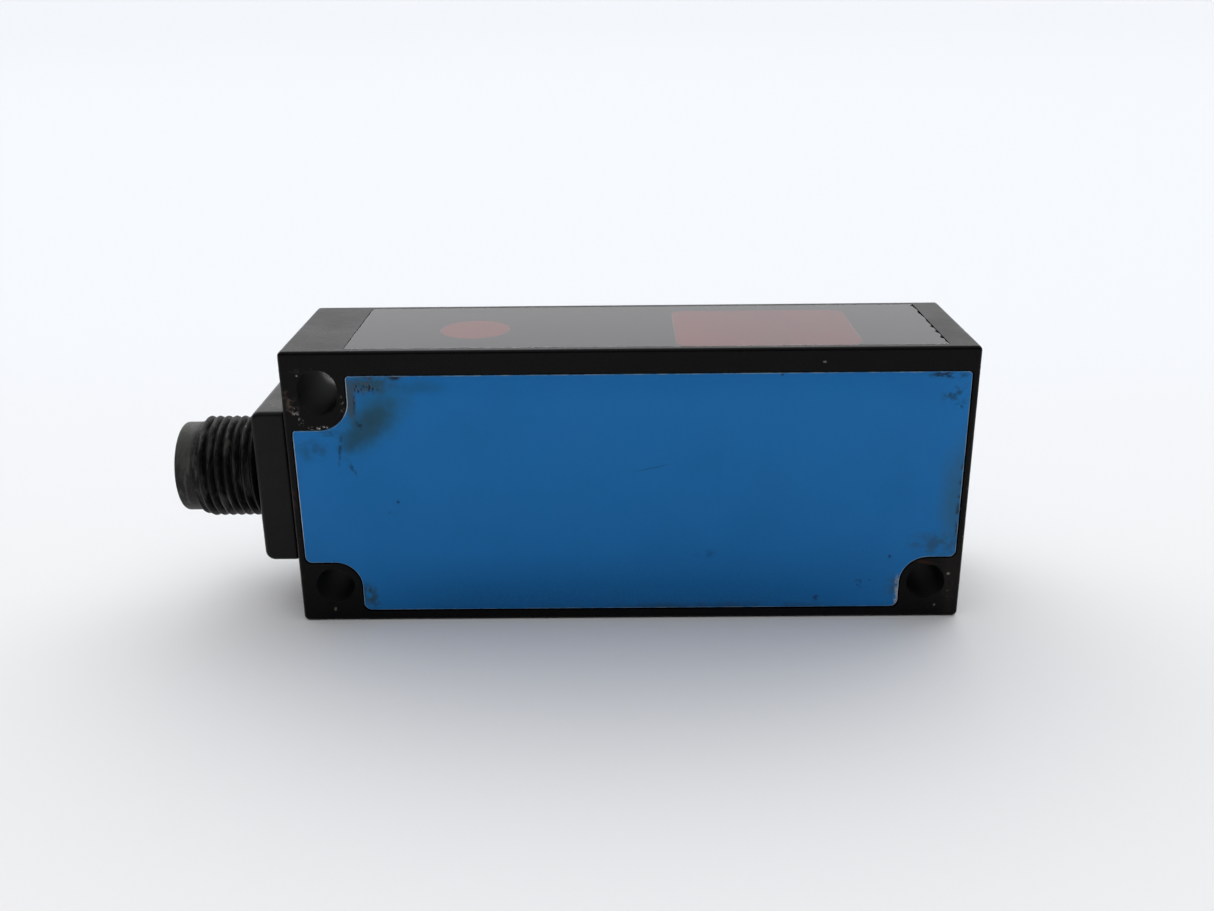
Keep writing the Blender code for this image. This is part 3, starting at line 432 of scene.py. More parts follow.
housing = {
    "low": (-38.2, -10.15, 0.0), "high": (38.2, 10.15, 32.6), "edge": 0.42, "cornerEdge": 0.55, "rim": 0.09,
    "recess": 0.35, "labelGap": 0.12, "labelCut": 3, "holes": ((-34.15, 4.5), (34.15, 4.5)), "holeRadius": 2.2,
    "holeReach": (-12, 12), "slot": (-34.15, 27.9, 5.2),
    "chamber": (-35.8, 36.0, 2.6, 28.4), "chamberSteps": ((-29.6, 8.9), (29.9, 8.6), (-29.6, 22.6)),
    "chamberReach": (-8.55, 8.35), "chamberRound": 0.7, "rebate": 0.9, "rebateReach": (-11, -8.55),
    "seatLow": (-31.15, -9.15, 30.7), "seatHigh": (34.85, 9.15, 34), "seatRound": 0.35,
    "apertureLow": (-29.4, -8.3, 27), "apertureHigh": (33.9, 8.3, 31.2),
    "spigotBore": (6.1, -39, -34.8), "spigotAt": (0, 15.7),
    "pilot": (1.05, -39, -36.2), "pilotsAt": ((5.5, 22.6), (-5.5, 8.8)),
    "controls": ((0.0, 21.0), (-4.2, 13.6)), "boss": (4.0, 34.2, 37), "knobSeat": (2.7, 35.5, 40),
    "shaftBore": (1.55, 33, 40), "guideLow": (35, 2.6, 10.5), "guideHigh": (40, 5.8, 16.7), "guideRound": 0.5,
}
ticks = {
    "ring": 3.55, "sets": ((11, 270), (2, 90)), "floor": 37.7, "top": 38.6, "half": 0.11, "long": 0.55,
    "longer": 0.35,
}

labelShape = {
    "left": -37.35, "right": 37.35, "bottom": 1.3, "top": 29.8, "lowLeft": -31.0, "lowRight": 31.1,
    "lowLeftTop": 7.4, "lowRightTop": 7.6, "highBottom": 23.55,
    "innerRound": {"lowLeft": 3.0, "lowRight": 3.2, "high": 3.4},
    "outerRound": {"foot": 0.9, "side": 0.75, "corner": 0.5, "notch": 0.4},
    "thick": 0.25, "outside": 10.10, "rim": 0.10,
}


def labelSheet(name, y, grow, faceOut):
    # a flat sheet with three rounded notches, standing in X and Z at one Y
    s = labelShape
    left, right, bottom, top = s["left"] - grow, s["right"] + grow, s["bottom"] - grow, s["top"] + grow
    lowLeft, lowRight = s["lowLeft"] - grow, s["lowRight"] + grow
    lowLeftTop, lowRightTop, highBottom = s["lowLeftTop"] - grow, s["lowRightTop"] - grow, s["highBottom"] + grow
    deselectAll()
    centre = (0, y * mm, (bottom + top) / 2 * mm)
    bpy.ops.mesh.primitive_plane_add(size=1, location=centre, rotation=(math.pi / 2, 0, 0))
    sheet = bpy.context.object
    sheet.name = name
    sheet.data.name = name
    sheet.scale = ((right - left) * mm, (top - bottom) * mm, 1)
    settle(sheet)
    mesh = editStart(sheet)
    for spot, normal in (
        ((lowLeft, 0), (1, 0, 0)), ((lowRight, 0), (1, 0, 0)),
        ((0, lowLeftTop), (0, 0, 1)), ((0, lowRightTop), (0, 0, 1)), ((0, highBottom), (0, 0, 1)),
    ):
        bpy.ops.mesh.select_all(action="SELECT")
        bpy.ops.mesh.bisect(plane_co=(spot[0] * mm, y * mm, spot[1] * mm), plane_no=normal)
    mesh = bmesh.from_edit_mesh(sheet.data)

    def inNotch(face):
        spot = face.calc_center_median() / mm
        lowerLeft = spot.x < lowLeft and spot.z < lowLeftTop
        lowerRight = spot.x > lowRight and spot.z < lowRightTop
        upperLeft = spot.x < lowLeft and spot.z > highBottom
        return lowerLeft or lowerRight or upperLeft

    bpy.ops.mesh.select_mode(type="FACE")
    pick(sheet, mesh.faces, inNotch)
    bpy.ops.mesh.delete(type="FACE")
    bpy.ops.mesh.select_all(action="SELECT")
    bpy.ops.mesh.dissolve_limited(angle_limit=math.radians(1))
    bpy.ops.mesh.select_mode(type="VERT")
    inner, outer = s["innerRound"], s["outerRound"]
    corners = (
        (lowLeft, bottom, outer["foot"]), (lowRight, bottom, outer["foot"]),
        (lowRight, lowRightTop, inner["lowRight"] - grow), (right, lowRightTop, outer["side"] + grow),
        (right, top, outer["corner"] + grow), (lowLeft, top, outer["notch"] + grow),
        (lowLeft, highBottom, inner["high"] - grow), (left, highBottom, outer["notch"] + grow),
        (left, lowLeftTop, outer["side"] + grow), (lowLeft, lowLeftTop, inner["lowLeft"] - grow),
    )
    for x, z, radius in corners:
        mesh = bmesh.from_edit_mesh(sheet.data)
        spot = Vector((x, y, z)) * mm
        pick(sheet, mesh.verts, lambda vert: (vert.co - spot).length < 0.05 * mm)
        bpy.ops.mesh.bevel(offset=radius * mm, segments=10, profile=0.5, affect="VERTICES")
    editEnd()
    if (sheet.data.polygons[0].normal.y > 0) != (faceOut > 0):
        editStart(sheet)
        bpy.ops.mesh.select_all(action="SELECT")
        bpy.ops.mesh.flip_normals()
        editEnd()
    return sheet


def thicken(sheet, reach):
    # gives a flat sheet its thickness along Y
    editStart(sheet)
    bpy.ops.mesh.select_all(action="SELECT")
    bpy.ops.mesh.extrude_region_move(TRANSFORM_OT_translate={"value": (0, reach * mm, 0)})
    bpy.ops.mesh.select_all(action="SELECT")
    bpy.ops.mesh.normals_make_consistent(inside=False)
    editEnd()
    return sheet


def labelCutter(side):
    # the recess that a label lies in
    depth = housing["high"][1] - housing["recess"]
    sheet = labelSheet("recessTool", side * depth, housing["labelGap"], side)
    return thicken(sheet, side * housing["labelCut"])


def slotTool():
    # an upright slot through the thickness, a rod stretched along Z in edit mode
    x, z, length = housing["slot"]
    tool = addRod("slot", housing["holeRadius"], *housing["holeReach"], (x, z), "Y")
    stretch = length / 2 - housing["holeRadius"]
    for sign in (1, -1):
        mesh = editStart(tool, "VERT")
        pick(tool, mesh.verts, lambda vert: sign * (vert.co.z - z * mm) > 0.01 * mm)
        bpy.ops.transform.translate(value=(0, 0, sign * stretch * mm))
        editEnd()
    return tool


def chamberTool(name, grow, start, end):
    # the inside of the tub, stepped round the three screw bosses
    left, right, bottom, top = housing["chamber"]
    left, right, bottom, top = left - grow, right + grow, bottom - grow, top + grow
    (lowLeft, lowLeftTop), (lowRight, lowRightTop), (highLeft, highBottom) = housing["chamberSteps"]
    steps = (
        (left - 1, bottom - 1, lowLeft - grow, lowLeftTop - grow),
        (lowRight + grow, bottom - 1, right + 1, lowRightTop - grow),
        (left - 1, highBottom + grow, highLeft - grow, top + 1),
    )
    tool = addBox(name, (left, start, bottom), (right, end, top))
    for x0, z0, x1, z1 in steps:
        combine(tool, addBox("step", (x0, -20, z0), (x1, 20, z1)))
    bevelEdges(tool, along(1), housing["chamberRound"], 4)
    return tool


def scaleTicks():
    # engraved marks round the two setting screws
    t, made = ticks, []
    for (y, z), (count, span) in zip(housing["controls"], t["sets"]):
        for index in range(count):
            angle = math.radians(-span / 2 + span * index / (count - 1))
            longer = t["longer"] if index in (0, count - 1) else 0.0
            tick = addBox("tick", (t["floor"], -t["half"], 0), (t["top"], t["half"], t["long"] + longer))
            spot = (y + t["ring"] * math.sin(angle)) * mm, (z + t["ring"] * math.cos(angle)) * mm
            tick.data.transform(Matrix.Translation((0, *spot)) @ Matrix.Rotation(-angle, 4, "X"))
            made.append(tick)
    return made


def makeHousing():
    h = housing
    shell = addBox("housingShell", h["low"], h["high"])
    bevelEdges(shell, along(1), h["cornerEdge"], 6)
    roundEdges(shell, h["edge"], 5, 60)
    cutAll(shell, labelCutter(-1), labelCutter(1))
    chamber = chamberTool("chamber", 0.0, *h["chamberReach"])
    cutAll(shell, chamber, chamberTool("rebate", h["rebate"], *h["rebateReach"]))
    seat = addBox("seat", h["seatLow"], h["seatHigh"])
    bevelEdges(seat, along(2), h["seatRound"], 4)
    cutAll(shell, seat, addBox("aperture", h["apertureLow"], h["apertureHigh"]))
    for at in h["holes"]:
        cutAll(shell, addRod("hole", h["holeRadius"], *h["holeReach"], at, "Y"))
    cutAll(shell, slotTool())
    cutAll(shell, addRod("spigotBore", *h["spigotBore"], h["spigotAt"]))
    for at in h["pilotsAt"]:
        cutAll(shell, addRod("pilot", *h["pilot"], at, sides=24))
    for at in h["controls"]:
        combine(shell, addRod("boss", *h["boss"], at, sides=48), "UNION")
    for at in h["controls"]:
        knobSeat = addRod("knobSeat", *h["knobSeat"], at)
        cutAll(shell, knobSeat, addRod("shaftBore", *h["shaftBore"], at, sides=48))
    guideTool = addBox("guideSlot", h["guideLow"], h["guideHigh"])
    bevelEdges(guideTool, along(0), h["guideRound"], 5)
    cutAll(shell, guideTool, *scaleTicks())
    cleanUp(shell)
    roundEdges(shell, h["rim"])
    smooth(shell)
    return shell


def polishHoles(shell):
    # the bores were cored by steel pins, so their walls are smoother than the outside
    shell.data.materials.append(smoothBore())
    mesh = editStart(shell, "FACE")
    x, z, length = housing["slot"]
    reach = (housing["holeRadius"] + 0.03) * mm

    def inBore(face):
        spot = middle(face)
        if abs(face.normal.y) > 0.2:
            return False
        round_ = any(math.hypot(spot.x - hx * mm, spot.z - hz * mm) < reach for hx, hz in housing["holes"])
        rise = max(0.0, abs(spot.z - z * mm) - (length / 2 - housing["holeRadius"]) * mm)
        return round_ or math.hypot(spot.x - x * mm, rise) < reach
    pick(shell, mesh.faces, inBore)
    shell.active_material_index = 1
    bpy.ops.object.material_slot_assign()
    editEnd()


boreLook = {
    "colour": (0.0016, 0.0015, 0.0016), "streak": (0.004, 0.0038, 0.0038), "cleanBy": 3.5, "grime": 0.8,
    "dull": 0.62, "gain": 0.54, "gloss": 0.42,
}


def smoothBore():
    # the front of a bore is dusty and dull, its far half is clean and shines
    look = boreLook
    material, tree, shader = newMaterial("coredBore")
    streak = remap(tree, noiseField(tree, 500, 4.0, 0.6, (1, 0.15, 1)), 0.4, 0.7)
    tree.links.new(tint(tree, look["colour"], look["streak"], streak), shader.inputs["Base Color"])
    clean = remap(tree, spotAxes(tree)[1], 0.0, look["cleanBy"] * mm)
    grime = remap(tree, noiseField(tree, 1500, 4.0, 0.65), 0.56, 0.64)
    bare = maths(tree, "SUBTRACT", 1.0, maths(tree, "MULTIPLY", grime, look["grime"]))
    clean = maths(tree, "MULTIPLY", clean, bare)
    dull = maths(tree, "SUBTRACT", look["dull"], maths(tree, "MULTIPLY", clean, look["gain"]))
    tree.links.new(dull, shader.inputs["Roughness"])
    shader.inputs["Specular IOR Level"].default_value = look["gloss"]
    bump(tree, shader, noiseField(tree, 300, 2.0, 0.5, (1, 0.3, 1)), 0.000006)
    return material


housingLook = {
    "colour": (0.0014, 0.0012, 0.0013), "bloom": (0.0042, 0.0038, 0.0041), "bloomAmount": 0.35, "cloudScale": 90,
    "dust": (0.03, 0.028, 0.027), "dustAmount": 0.04,
    "speck": (0.10, 0.095, 0.09), "speckScale": 620, "speckShare": 0.02,
    "rough": (0.24, 0.36), "gloss": 0.095, "grainScale": 3200, "grainDepth": 0.00003, "wave": 0.00003,
    "patches": (
        mark(-37.2, 26.6, 1.0, 2.2, (0.10, 0.075, 0.060), turn=-16, fade=0.8, rag=0.8,
             breakUp=(1700, 0.46, 0.62), amount=0.8),
        mark(-36.6, 25.3, 0.6, 1.7, (0.36, 0.33, 0.30), turn=-24, fade=0.8, rag=0.8,
             breakUp=(3400, 0.54, 0.62), amount=0.9),
        mark(-34.0, 23.85, 2.2, 0.3, (0.46, 0.44, 0.42), fade=0.7, rag=0.9, breakUp=(4200, 0.52, 0.59),
             amount=0.9),
        mark(-31.55, 26.2, 0.35, 1.6, (0.28, 0.27, 0.25), fade=0.8, rag=0.8, breakUp=(3900, 0.56, 0.62),
             amount=0.85),
        mark(-35.3, 30.3, 2.2, 0.6, (0.04, 0.036, 0.034), fade=0.8, rag=0.8, breakUp=(2400, 0.52, 0.64),
             amount=0.7),
        mark(37.0, 5.5, 1.9, 7.0, (0.014, 0.0105, 0.0085), fade=0.8, rag=0.6, amount=0.8),
        mark(38.0, 18.0, 0.5, 13.0, (0.045, 0.033, 0.022), y=-10.6, deep=1.0, fade=0.8, rag=0.6,
             breakUp=(900, 0.46, 0.62), amount=0.7),
        mark(33.7, 7.0, 1.7, 0.32, (0.040, 0.010, 0.005), turn=8, fade=0.8, rag=0.7, amount=0.7),
        mark(36.7, 5.5, 0.24, 0.22, (0.22, 0.20, 0.18), rag=0.6),
        mark(35.4, 1.5, 0.18, 0.2, (0.14, 0.13, 0.12), rag=0.6),
        mark(36.9, 3.4, 0.9, 1.6, (0.07, 0.055, 0.04), rag=0.8, breakUp=(3400, 0.57, 0.65), amount=0.8),
        mark(-34.4, 1.5, 0.2, 0.34, (0.12, 0.13, 0.08), turn=10, rag=0.5),
        mark(-37.9, 12.0, 0.5, 11.0, (0.045, 0.014, 0.008), fade=0.8, rag=0.8, breakUp=(800, 0.5, 0.64),
             amount=0.7),
        mark(-34.0, 7.35, 3.0, 0.3, (0.035, 0.010, 0.006), fade=0.8, rag=0.8, breakUp=(900, 0.46, 0.62),
             amount=0.7),
        mark(21.2, 31.0, 0.28, 0.16, (0.16, 0.15, 0.145), rag=0.7),
        mark(-36.2, 29.9, 0.14, 0.14, (0.28, 0.27, 0.25), rag=0.5),
    ),
}

housingPlastic = mouldedBlack("mouldedHousing", housingLook)
shell = dress(makeHousing(), housingPlastic, replaces=("housing",))
polishHoles(shell)
print("housing: modelled and dressed")


labelLook = {
    # the low colour paints shade low down, the end colour paints light at both ends, the far colour paints shade
    # over the rear label
    "colour": (0.0140, 0.200, 0.555), "low": (0.0074, 0.136, 0.385), "high": (0.0088, 0.177, 0.515),
    "far": (0.005, 0.10, 0.30), "rearShadeShare": 0.75, "endLight": (0.0165, 0.205, 0.57),
    "cloud": (0.0100, 0.158, 0.445), "weave": (0.0155, 0.21, 0.56), "darkDot": (0.004, 0.02, 0.06),
    "paleDot": (0.12, 0.22, 0.36), "rough": (0.40, 0.52), "gloss": 0.12,
    # the edge colours paint an edge highlight on the foil's rim; the pale patches paint white highlights
    "cutEdge": (0.05, 0.20, 0.42), "lightEdge": (0.26, 0.40, 0.52), "edgeHighlight": (0.60, 0.64, 0.68),
    "edgeHighlights": (
        ((31.0, -10.1, 3.2), (1.6, 2, 2.6)), ((-37.3, -10.1, 16.0), (0.8, 2, 8.5)),
        ((-31.0, -10.1, 27.0), (0.8, 2, 2.8)),
    ),
}


def labelMaterial(name, side):
    # printed foil: a satin blue ink with painted shade low down in the middle, painted light at both ends and
    # painted shade over the whole rear label, with the marks of handling of its own side, among them a painted
    # highlight on the front
    look = labelLook
    material, tree, shader = newMaterial(name)
    x, _, z = spotAxes(tree)
    # painted shade: darker towards the bottom, most in the middle of the label
    sideways = maths(tree, "ABSOLUTE", maths(tree, "ADD", x, 3 * mm))
    shade = remap(tree, sideways, 14 * mm, 33 * mm, 1, 0.1)
    shade = maths(tree, "MULTIPLY", shade, remap(tree, z, 9 * mm, 1.5 * mm))
    colour = tint(tree, look["colour"], look["low"], shade)
    colour = tint(tree, colour, look["high"], remap(tree, z, 26 * mm, 30 * mm, 0, 0.8))
    # painted light: a paler blue towards both ends
    ends = maths(tree, "ADD", remap(tree, x, -28 * mm, -37 * mm), remap(tree, x, 29 * mm, 37 * mm))
    colour = tint(tree, colour, look["endLight"], ends)
    cloud = remap(tree, noiseField(tree, 55, 4.0, 0.6), 0.38, 0.72)
    colour = tint(tree, colour, look["cloud"], cloud, 0.45)
    weave = remap(tree, noiseField(tree, 3800, 2.0, 0.6), 0.3, 0.75)
    colour = tint(tree, colour, look["weave"], weave, 0.25)
    colour = tint(tree, colour, look["darkDot"], specks(tree, 420, 0.10, 0.03), 0.7)
    colour = tint(tree, colour, look["paleDot"], specks(tree, 500, 0.08, 0.012), 0.6)
    # painted shade: the rear label is darkened all over, to offset the stronger light from behind
    if side > 0:
        colour = tint(tree, colour, look["far"], look["rearShadeShare"])
    for patch in labelMarks if side < 0 else rearMarks:
        colour = tint(tree, colour, patch["colour"], patchMask(tree, patch))
    tree.links.new(colour, shader.inputs["Base Color"])
    rough = remap(tree, noiseField(tree, 140, 4.0, 0.6), 0.3, 0.7, *look["rough"])
    tree.links.new(rough, shader.inputs["Roughness"])
    shader.inputs["Specular IOR Level"].default_value = look["gloss"]
    grain = bump(tree, shader, noiseField(tree, 2600, 3.0, 0.55), 0.000018)
    bump(tree, shader, noiseField(tree, 45, 1.0, 0.4), 0.00003, after=grain)
    return material


labelMarks = (
    mark(-28.2, 24.9, 7.0, 3.6, (0.019, 0.125, 0.235), turn=-42, fade=0.95, rag=0.5, amount=0.95),
    mark(-28.6, 24.4, 4.4, 2.5, (0.022, 0.085, 0.145), turn=-50, fade=0.95, rag=0.6, amount=0.9),
    mark(-30.6, 22.4, 3.2, 1.9, (0.018, 0.095, 0.175), turn=-54, fade=0.95, rag=0.8, amount=0.85),
    mark(-28.6, 28.8, 4.2, 1.5, (0.028, 0.095, 0.14), fade=0.85, rag=0.9, amount=0.9),
    mark(-29.4, 28.5, 2.1, 0.85, (0.085, 0.082, 0.08), fade=0.6, rag=0.9, breakUp=(2300, 0.46, 0.58),
         stretch=(1.6, 1, 0.8), amount=0.85),
    mark(-29.2, 28.4, 2.2, 0.9, (0.004, 0.006, 0.009), fade=0.6, rag=0.9, breakUp=(2500, 0.53, 0.60),
         stretch=(1.6, 1, 0.7), amount=0.95),
    mark(-30.6, 27.2, 0.85, 3.2, (0.055, 0.090, 0.11), fade=0.7, rag=0.6, amount=0.9),
    mark(-30.2, 26.6, 0.22, 2.0, (0.004, 0.012, 0.02), turn=4, fade=0.8, rag=1.0,
         breakUp=(1300, 0.45, 0.6), amount=0.7),
    mark(-29.8, 24.4, 0.5, 1.2, (0.008, 0.03, 0.05), turn=-12, fade=0.8, rag=0.9,
         breakUp=(1300, 0.46, 0.6), amount=0.8),
    mark(-27.6, 29.75, 4.2, 0.5, (0.036, 0.048, 0.055), fade=0.7, rag=0.9, breakUp=(1200, 0.40, 0.58),
         amount=0.85),
    mark(-25.6, 29.6, 0.9, 0.45, (0.018, 0.022, 0.022), fade=0.7, rag=0.9, amount=0.9),
    mark(-22.8, 28.5, 3.6, 1.3, (0.013, 0.115, 0.25), fade=0.9, rag=0.8, amount=0.5),
    mark(-33.4, 23.2, 2.3, 0.55, (0.014, 0.075, 0.15), fade=0.8, rag=0.9, breakUp=(900, 0.38, 0.58),
         amount=0.8),
    mark(-32.2, 21.2, 0.26, 2.6, (0.010, 0.060, 0.125), turn=8, fade=0.8, rag=1.1,
         breakUp=(1100, 0.38, 0.54), amount=0.9),
    mark(-31.0, 19.0, 0.30, 1.5, (0.009, 0.06, 0.13), turn=-24, fade=0.8, rag=1.1,
         breakUp=(1300, 0.42, 0.56), amount=0.8),
    mark(-35.2, 21.3, 2.3, 1.8, (0.014, 0.105, 0.23), fade=0.9, rag=0.9, breakUp=(600, 0.34, 0.60),
         amount=0.9),
    mark(-27.0, 13.8, 0.9, 0.7, (0.008, 0.06, 0.17), fade=0.9, rag=1.0, breakUp=(1600, 0.5, 0.62),
         amount=0.6),
    mark(-30.3, 3.2, 1.4, 2.4, (0.030, 0.070, 0.065), turn=-20, fade=0.8, rag=0.9,
         breakUp=(1300, 0.36, 0.56), amount=0.9),
    mark(34.6, 29.4, 2.6, 0.6, (0.011, 0.028, 0.055), fade=0.7, rag=0.9, breakUp=(1500, 0.42, 0.56),
         stretch=(0.7, 1, 1.3), amount=0.9),
    mark(35.6, 27.2, 1.9, 1.9, (0.016, 0.075, 0.15), fade=0.8, rag=0.9, breakUp=(1100, 0.46, 0.6),
         amount=0.8),
    mark(36.3, 25.9, 0.8, 0.6, (0.010, 0.03, 0.06), fade=0.8, rag=0.9, breakUp=(1900, 0.46, 0.58),
         amount=0.8),
    mark(36.8, 15.0, 2.6, 10.0, (0.034, 0.145, 0.28), fade=0.9, rag=0.6, amount=0.75),
    mark(34.9, 9.2, 4.0, 2.1, (0.030, 0.11, 0.215), fade=0.8, rag=0.9, breakUp=(800, 0.34, 0.6),
         amount=0.8),
    mark(37.2, 14.0, 0.4, 7.5, (0.02, 0.035, 0.04), fade=0.7, rag=0.9, breakUp=(1000, 0.44, 0.6),
         amount=0.8),
    mark(29.8, 7.7, 0.26, 0.3, (0.008, 0.05, 0.14), rag=0.6, amount=0.8),
    mark(27.0, 4.4, 1.2, 0.8, (0.008, 0.05, 0.14), rag=0.9, breakUp=(1500, 0.52, 0.6), amount=0.8),
    mark(21.4, 2.6, 0.8, 0.6, (0.012, 0.045, 0.10), rag=0.9, breakUp=(1500, 0.42, 0.6), amount=0.8),
    mark(8.0, 1.4, 26, 0.9, (0.022, 0.065, 0.115), fade=0.9, rag=0.5, breakUp=(260, 0.36, 0.62),
         amount=0.6),
    # painted highlight: a pale wavy line along the lower right notch
    mark(30.85, 3.5, 0.4, 2.3, (0.42, 0.48, 0.54), fade=0.6, rag=1.0, breakUp=(1900, 0.42, 0.54),
         amount=0.9),
    mark(30.6, 3.6, 1.6, 2.4, (0.040, 0.10, 0.17), fade=0.9, rag=0.8, breakUp=(700, 0.40, 0.62),
         amount=0.7),
    mark(2.5, 18.8, 3.4, 0.16, (0.009, 0.11, 0.31), turn=-12, fade=0.9, rag=0.5, amount=0.6),
    mark(9.0, 8.2, 2.6, 0.8, (0.009, 0.11, 0.30), fade=0.9, rag=0.9, breakUp=(700, 0.46, 0.62),
         amount=0.6),
)
rearMarks = (
    mark(20.0, 21.0, 5.0, 0.5, (0.03, 0.12, 0.29), y=10.1, turn=24, fade=0.9, rag=0.8,
         breakUp=(900, 0.42, 0.62), amount=0.6),
    mark(-8.0, 9.0, 4.0, 2.0, (0.007, 0.045, 0.13), y=10.1, fade=0.9, rag=1.0, breakUp=(700, 0.5, 0.66),
         amount=0.5),
)


def foilEdge():
    # the cut edge of the foil, coloured a broken pale blue that is painted edge highlight, with painted white
    # highlights at three places
    material, tree, shader = newMaterial("foilEdgeHighlight")
    broken = remap(tree, noiseField(tree, 500, 5.0, 0.65), 0.40, 0.62)
    # painted edge highlight: a broken pale blue over the foil's edge faces and rounded rim
    colour = tint(tree, labelLook["cutEdge"], labelLook["lightEdge"], broken)
    # painted white highlights at the lower right notch, the left edge and the upper left notch
    for at, reach in labelLook["edgeHighlights"]:
        colour = tint(tree, colour, labelLook["edgeHighlight"], blot(tree, at, reach, 0, 0.5, 0.8, 700))
    tree.links.new(colour, shader.inputs["Base Color"])
    shader.inputs["Roughness"].default_value = 0.45
    return material


def makeLabel(name, side, node):
    thick, outside = labelShape["thick"], labelShape["outside"]
    sheet = thicken(labelSheet(name, side * (outside - thick), 0.0, side), side * thick)
    sheet.data.materials.append(labelMaterial(name + "Ink", side))
    sheet.data.materials.append(foilEdge())
    mesh = editStart(sheet, "EDGE")
    onFront = liesAt(1, side * outside, 0.01)
    pick(sheet, mesh.edges, lambda edge: onFront(edge) and len(edge.link_faces) == 2)
    bpy.ops.mesh.bevel(offset=labelShape["rim"] * mm, segments=3, affect="EDGES")
    mesh = bmesh.from_edit_mesh(sheet.data)
    bpy.ops.mesh.select_mode(type="FACE")
    pick(sheet, mesh.faces, lambda face: abs(face.normal.y) < 0.97)
    sheet.active_material_index = 1
    bpy.ops.object.material_slot_assign()
    editEnd()
    smooth(sheet, 40)
    return dress(sheet, sheet.data.materials[0], replaces=(node,))


makeLabel("labelFront", -1, "label_cover_side")
makeLabel("labelRear", 1, "label_housing_side")
print("labels: cut and marked")


pane = {
    "low": (-31.10, -9.10, 31.1), "high": (34.76, 9.10, 32.6), "edge": 0.06, "endSteps": 60, "endRag": 0.6,
    "windowReach": (29, 33),
    "maskLow": (-31.05, -9.05, 30.75), "maskHigh": (34.75, 9.05, 31.115), "roundAt": -17.65, "roundRadius": 4.0,
    "squareLow": (5.3, -7.9), "squareHigh": (25.9, 7.9), "squareRound": 1.6,
}


def makePane():
    _, wide, _ = pane["high"]
    sheet = addBox("windowPane", pane["low"], pane["high"])
    # the saw-cut end at the control side is a little uneven
    end = pane["high"][0]
    onEnd = liesAt(0, end, 0.01)
    mesh = editStart(sheet, "EDGE")
    pick(sheet, mesh.edges, lambda edge: onEnd(edge) and along(1)(edge))
    bpy.ops.mesh.subdivide(number_cuts=pane["endSteps"])
    mesh = bmesh.from_edit_mesh(sheet.data)
    for vert in mesh.verts:
        x, y, _ = vert.co
        if x > end * mm - 0.01 * mm and abs(y) < wide * mm - 0.01 * mm:
            rag = noise.noise(Vector((y * 900, 3.1, 0))) + 0.5 * noise.noise(Vector((y * 2600, 7.7, 0)))
            vert.co.x -= max(0.0, rag + 0.05) * pane["endRag"] * mm
    bmesh.update_edit_mesh(sheet.data)
    editEnd()
    roundEdges(sheet, pane["edge"])
    smooth(sheet, 40)
    return sheet


def acrylic(name, look):
    # clear acrylic that still lets light through to what lies below it
    material, tree, shader = newMaterial(name)
    shader.inputs["Base Color"].default_value = (*look["colour"], 1)
    shader.inputs["Transmission Weight"].default_value = 1.0
    shader.inputs["IOR"].default_value = 1.49
    shader.inputs["Specular Tint"].default_value = (1.0, 0.96, 1.0, 1)
    haze = remap(tree, noiseField(tree, look["scale"], 4.0, 0.6, look["stretch"]), 0.35, 0.7, *look["rough"])
    tree.links.new(haze, shader.inputs["Roughness"])
    bump(tree, shader, noiseField(tree, look["bumpScale"], 3.0, 0.5, look["stretch"]), look["bump"])
    clear = tree.nodes.new("ShaderNodeBsdfTransparent")
    clear.inputs["Color"].default_value = (*look["shadow"], 1)
    path = tree.nodes.new("ShaderNodeLightPath")
    blend = tree.nodes.new("ShaderNodeMixShader")
    tree.links.new(path.outputs["Is Shadow Ray"], blend.inputs[0])
    tree.links.new(shader.outputs[0], blend.inputs[1])
    tree.links.new(clear.outputs[0], blend.inputs[2])
    tree.links.new(blend.outputs[0], tree.nodes["Material Output"].inputs["Surface"])
    return material


paneLook = {
    "colour": (0.97, 0.975, 0.98), "scale": 300, "stretch": (1, 6, 1), "rough": (0.02, 0.09), "bumpScale": 500,
    "bump": 0.0000003, "shadow": (0.9, 0.9, 0.9),
}


def makeMask():
    sheet = addBox("windowMask", pane["maskLow"], pane["maskHigh"])
    low, high = pane["windowReach"]
    top = addRod("roundWindow", pane["roundRadius"], low, high, (pane["roundAt"], 0), "Z", 96)
    wide = addBox("squareWindow", (*pane["squareLow"], low), (*pane["squareHigh"], high))
    bevelEdges(wide, along(2), pane["squareRound"], 8)
    cutAll(sheet, top, wide)
    smooth(sheet, 40)
    return sheet


def printedInk():
    material, tree, shader = newMaterial("maskPrint")
    field = remap(tree, noiseField(tree, 400, 4.0, 0.6, (1, 5, 1)), 0.35, 0.7)
    colour = tint(tree, (0.004, 0.004, 0.005), (0.010, 0.009, 0.011), field)
    tree.links.new(colour, shader.inputs["Base Color"])
    shader.inputs["Roughness"].default_value = 0.7
    shader.inputs["Specular IOR Level"].default_value = 0.02
    bump(tree, shader, noiseField(tree, 2000, 2.0), 0.00001)
    return material


dress(makePane(), acrylic("paneAcrylic", paneLook), replaces=("window_pane",))
dress(makeMask(), printedInk(), replaces=("window_mask",))
print("window: pane and mask in place")


plug = {
    "axis": 15.7, "low": (-42.75, -7.5, 6.5), "high": (-38.7, 7.5, 24.85), "cornerRound": 1.1, "sideRound": 0.55,
    "rim": 0.12, "spigot": (5.95, -39.5, -35.4), "bore": (4.35, -44, -34), "sleeveSeat": (5.1, -44, -38.9),
    "threadRelief": (6.04, -44, -42.3), "screws": ((5.3, 22.4), (-5.3, 9.0)), "pocket": (1.55, -44, -41.0),
    "clearance": (1.0, -42, -38),
}


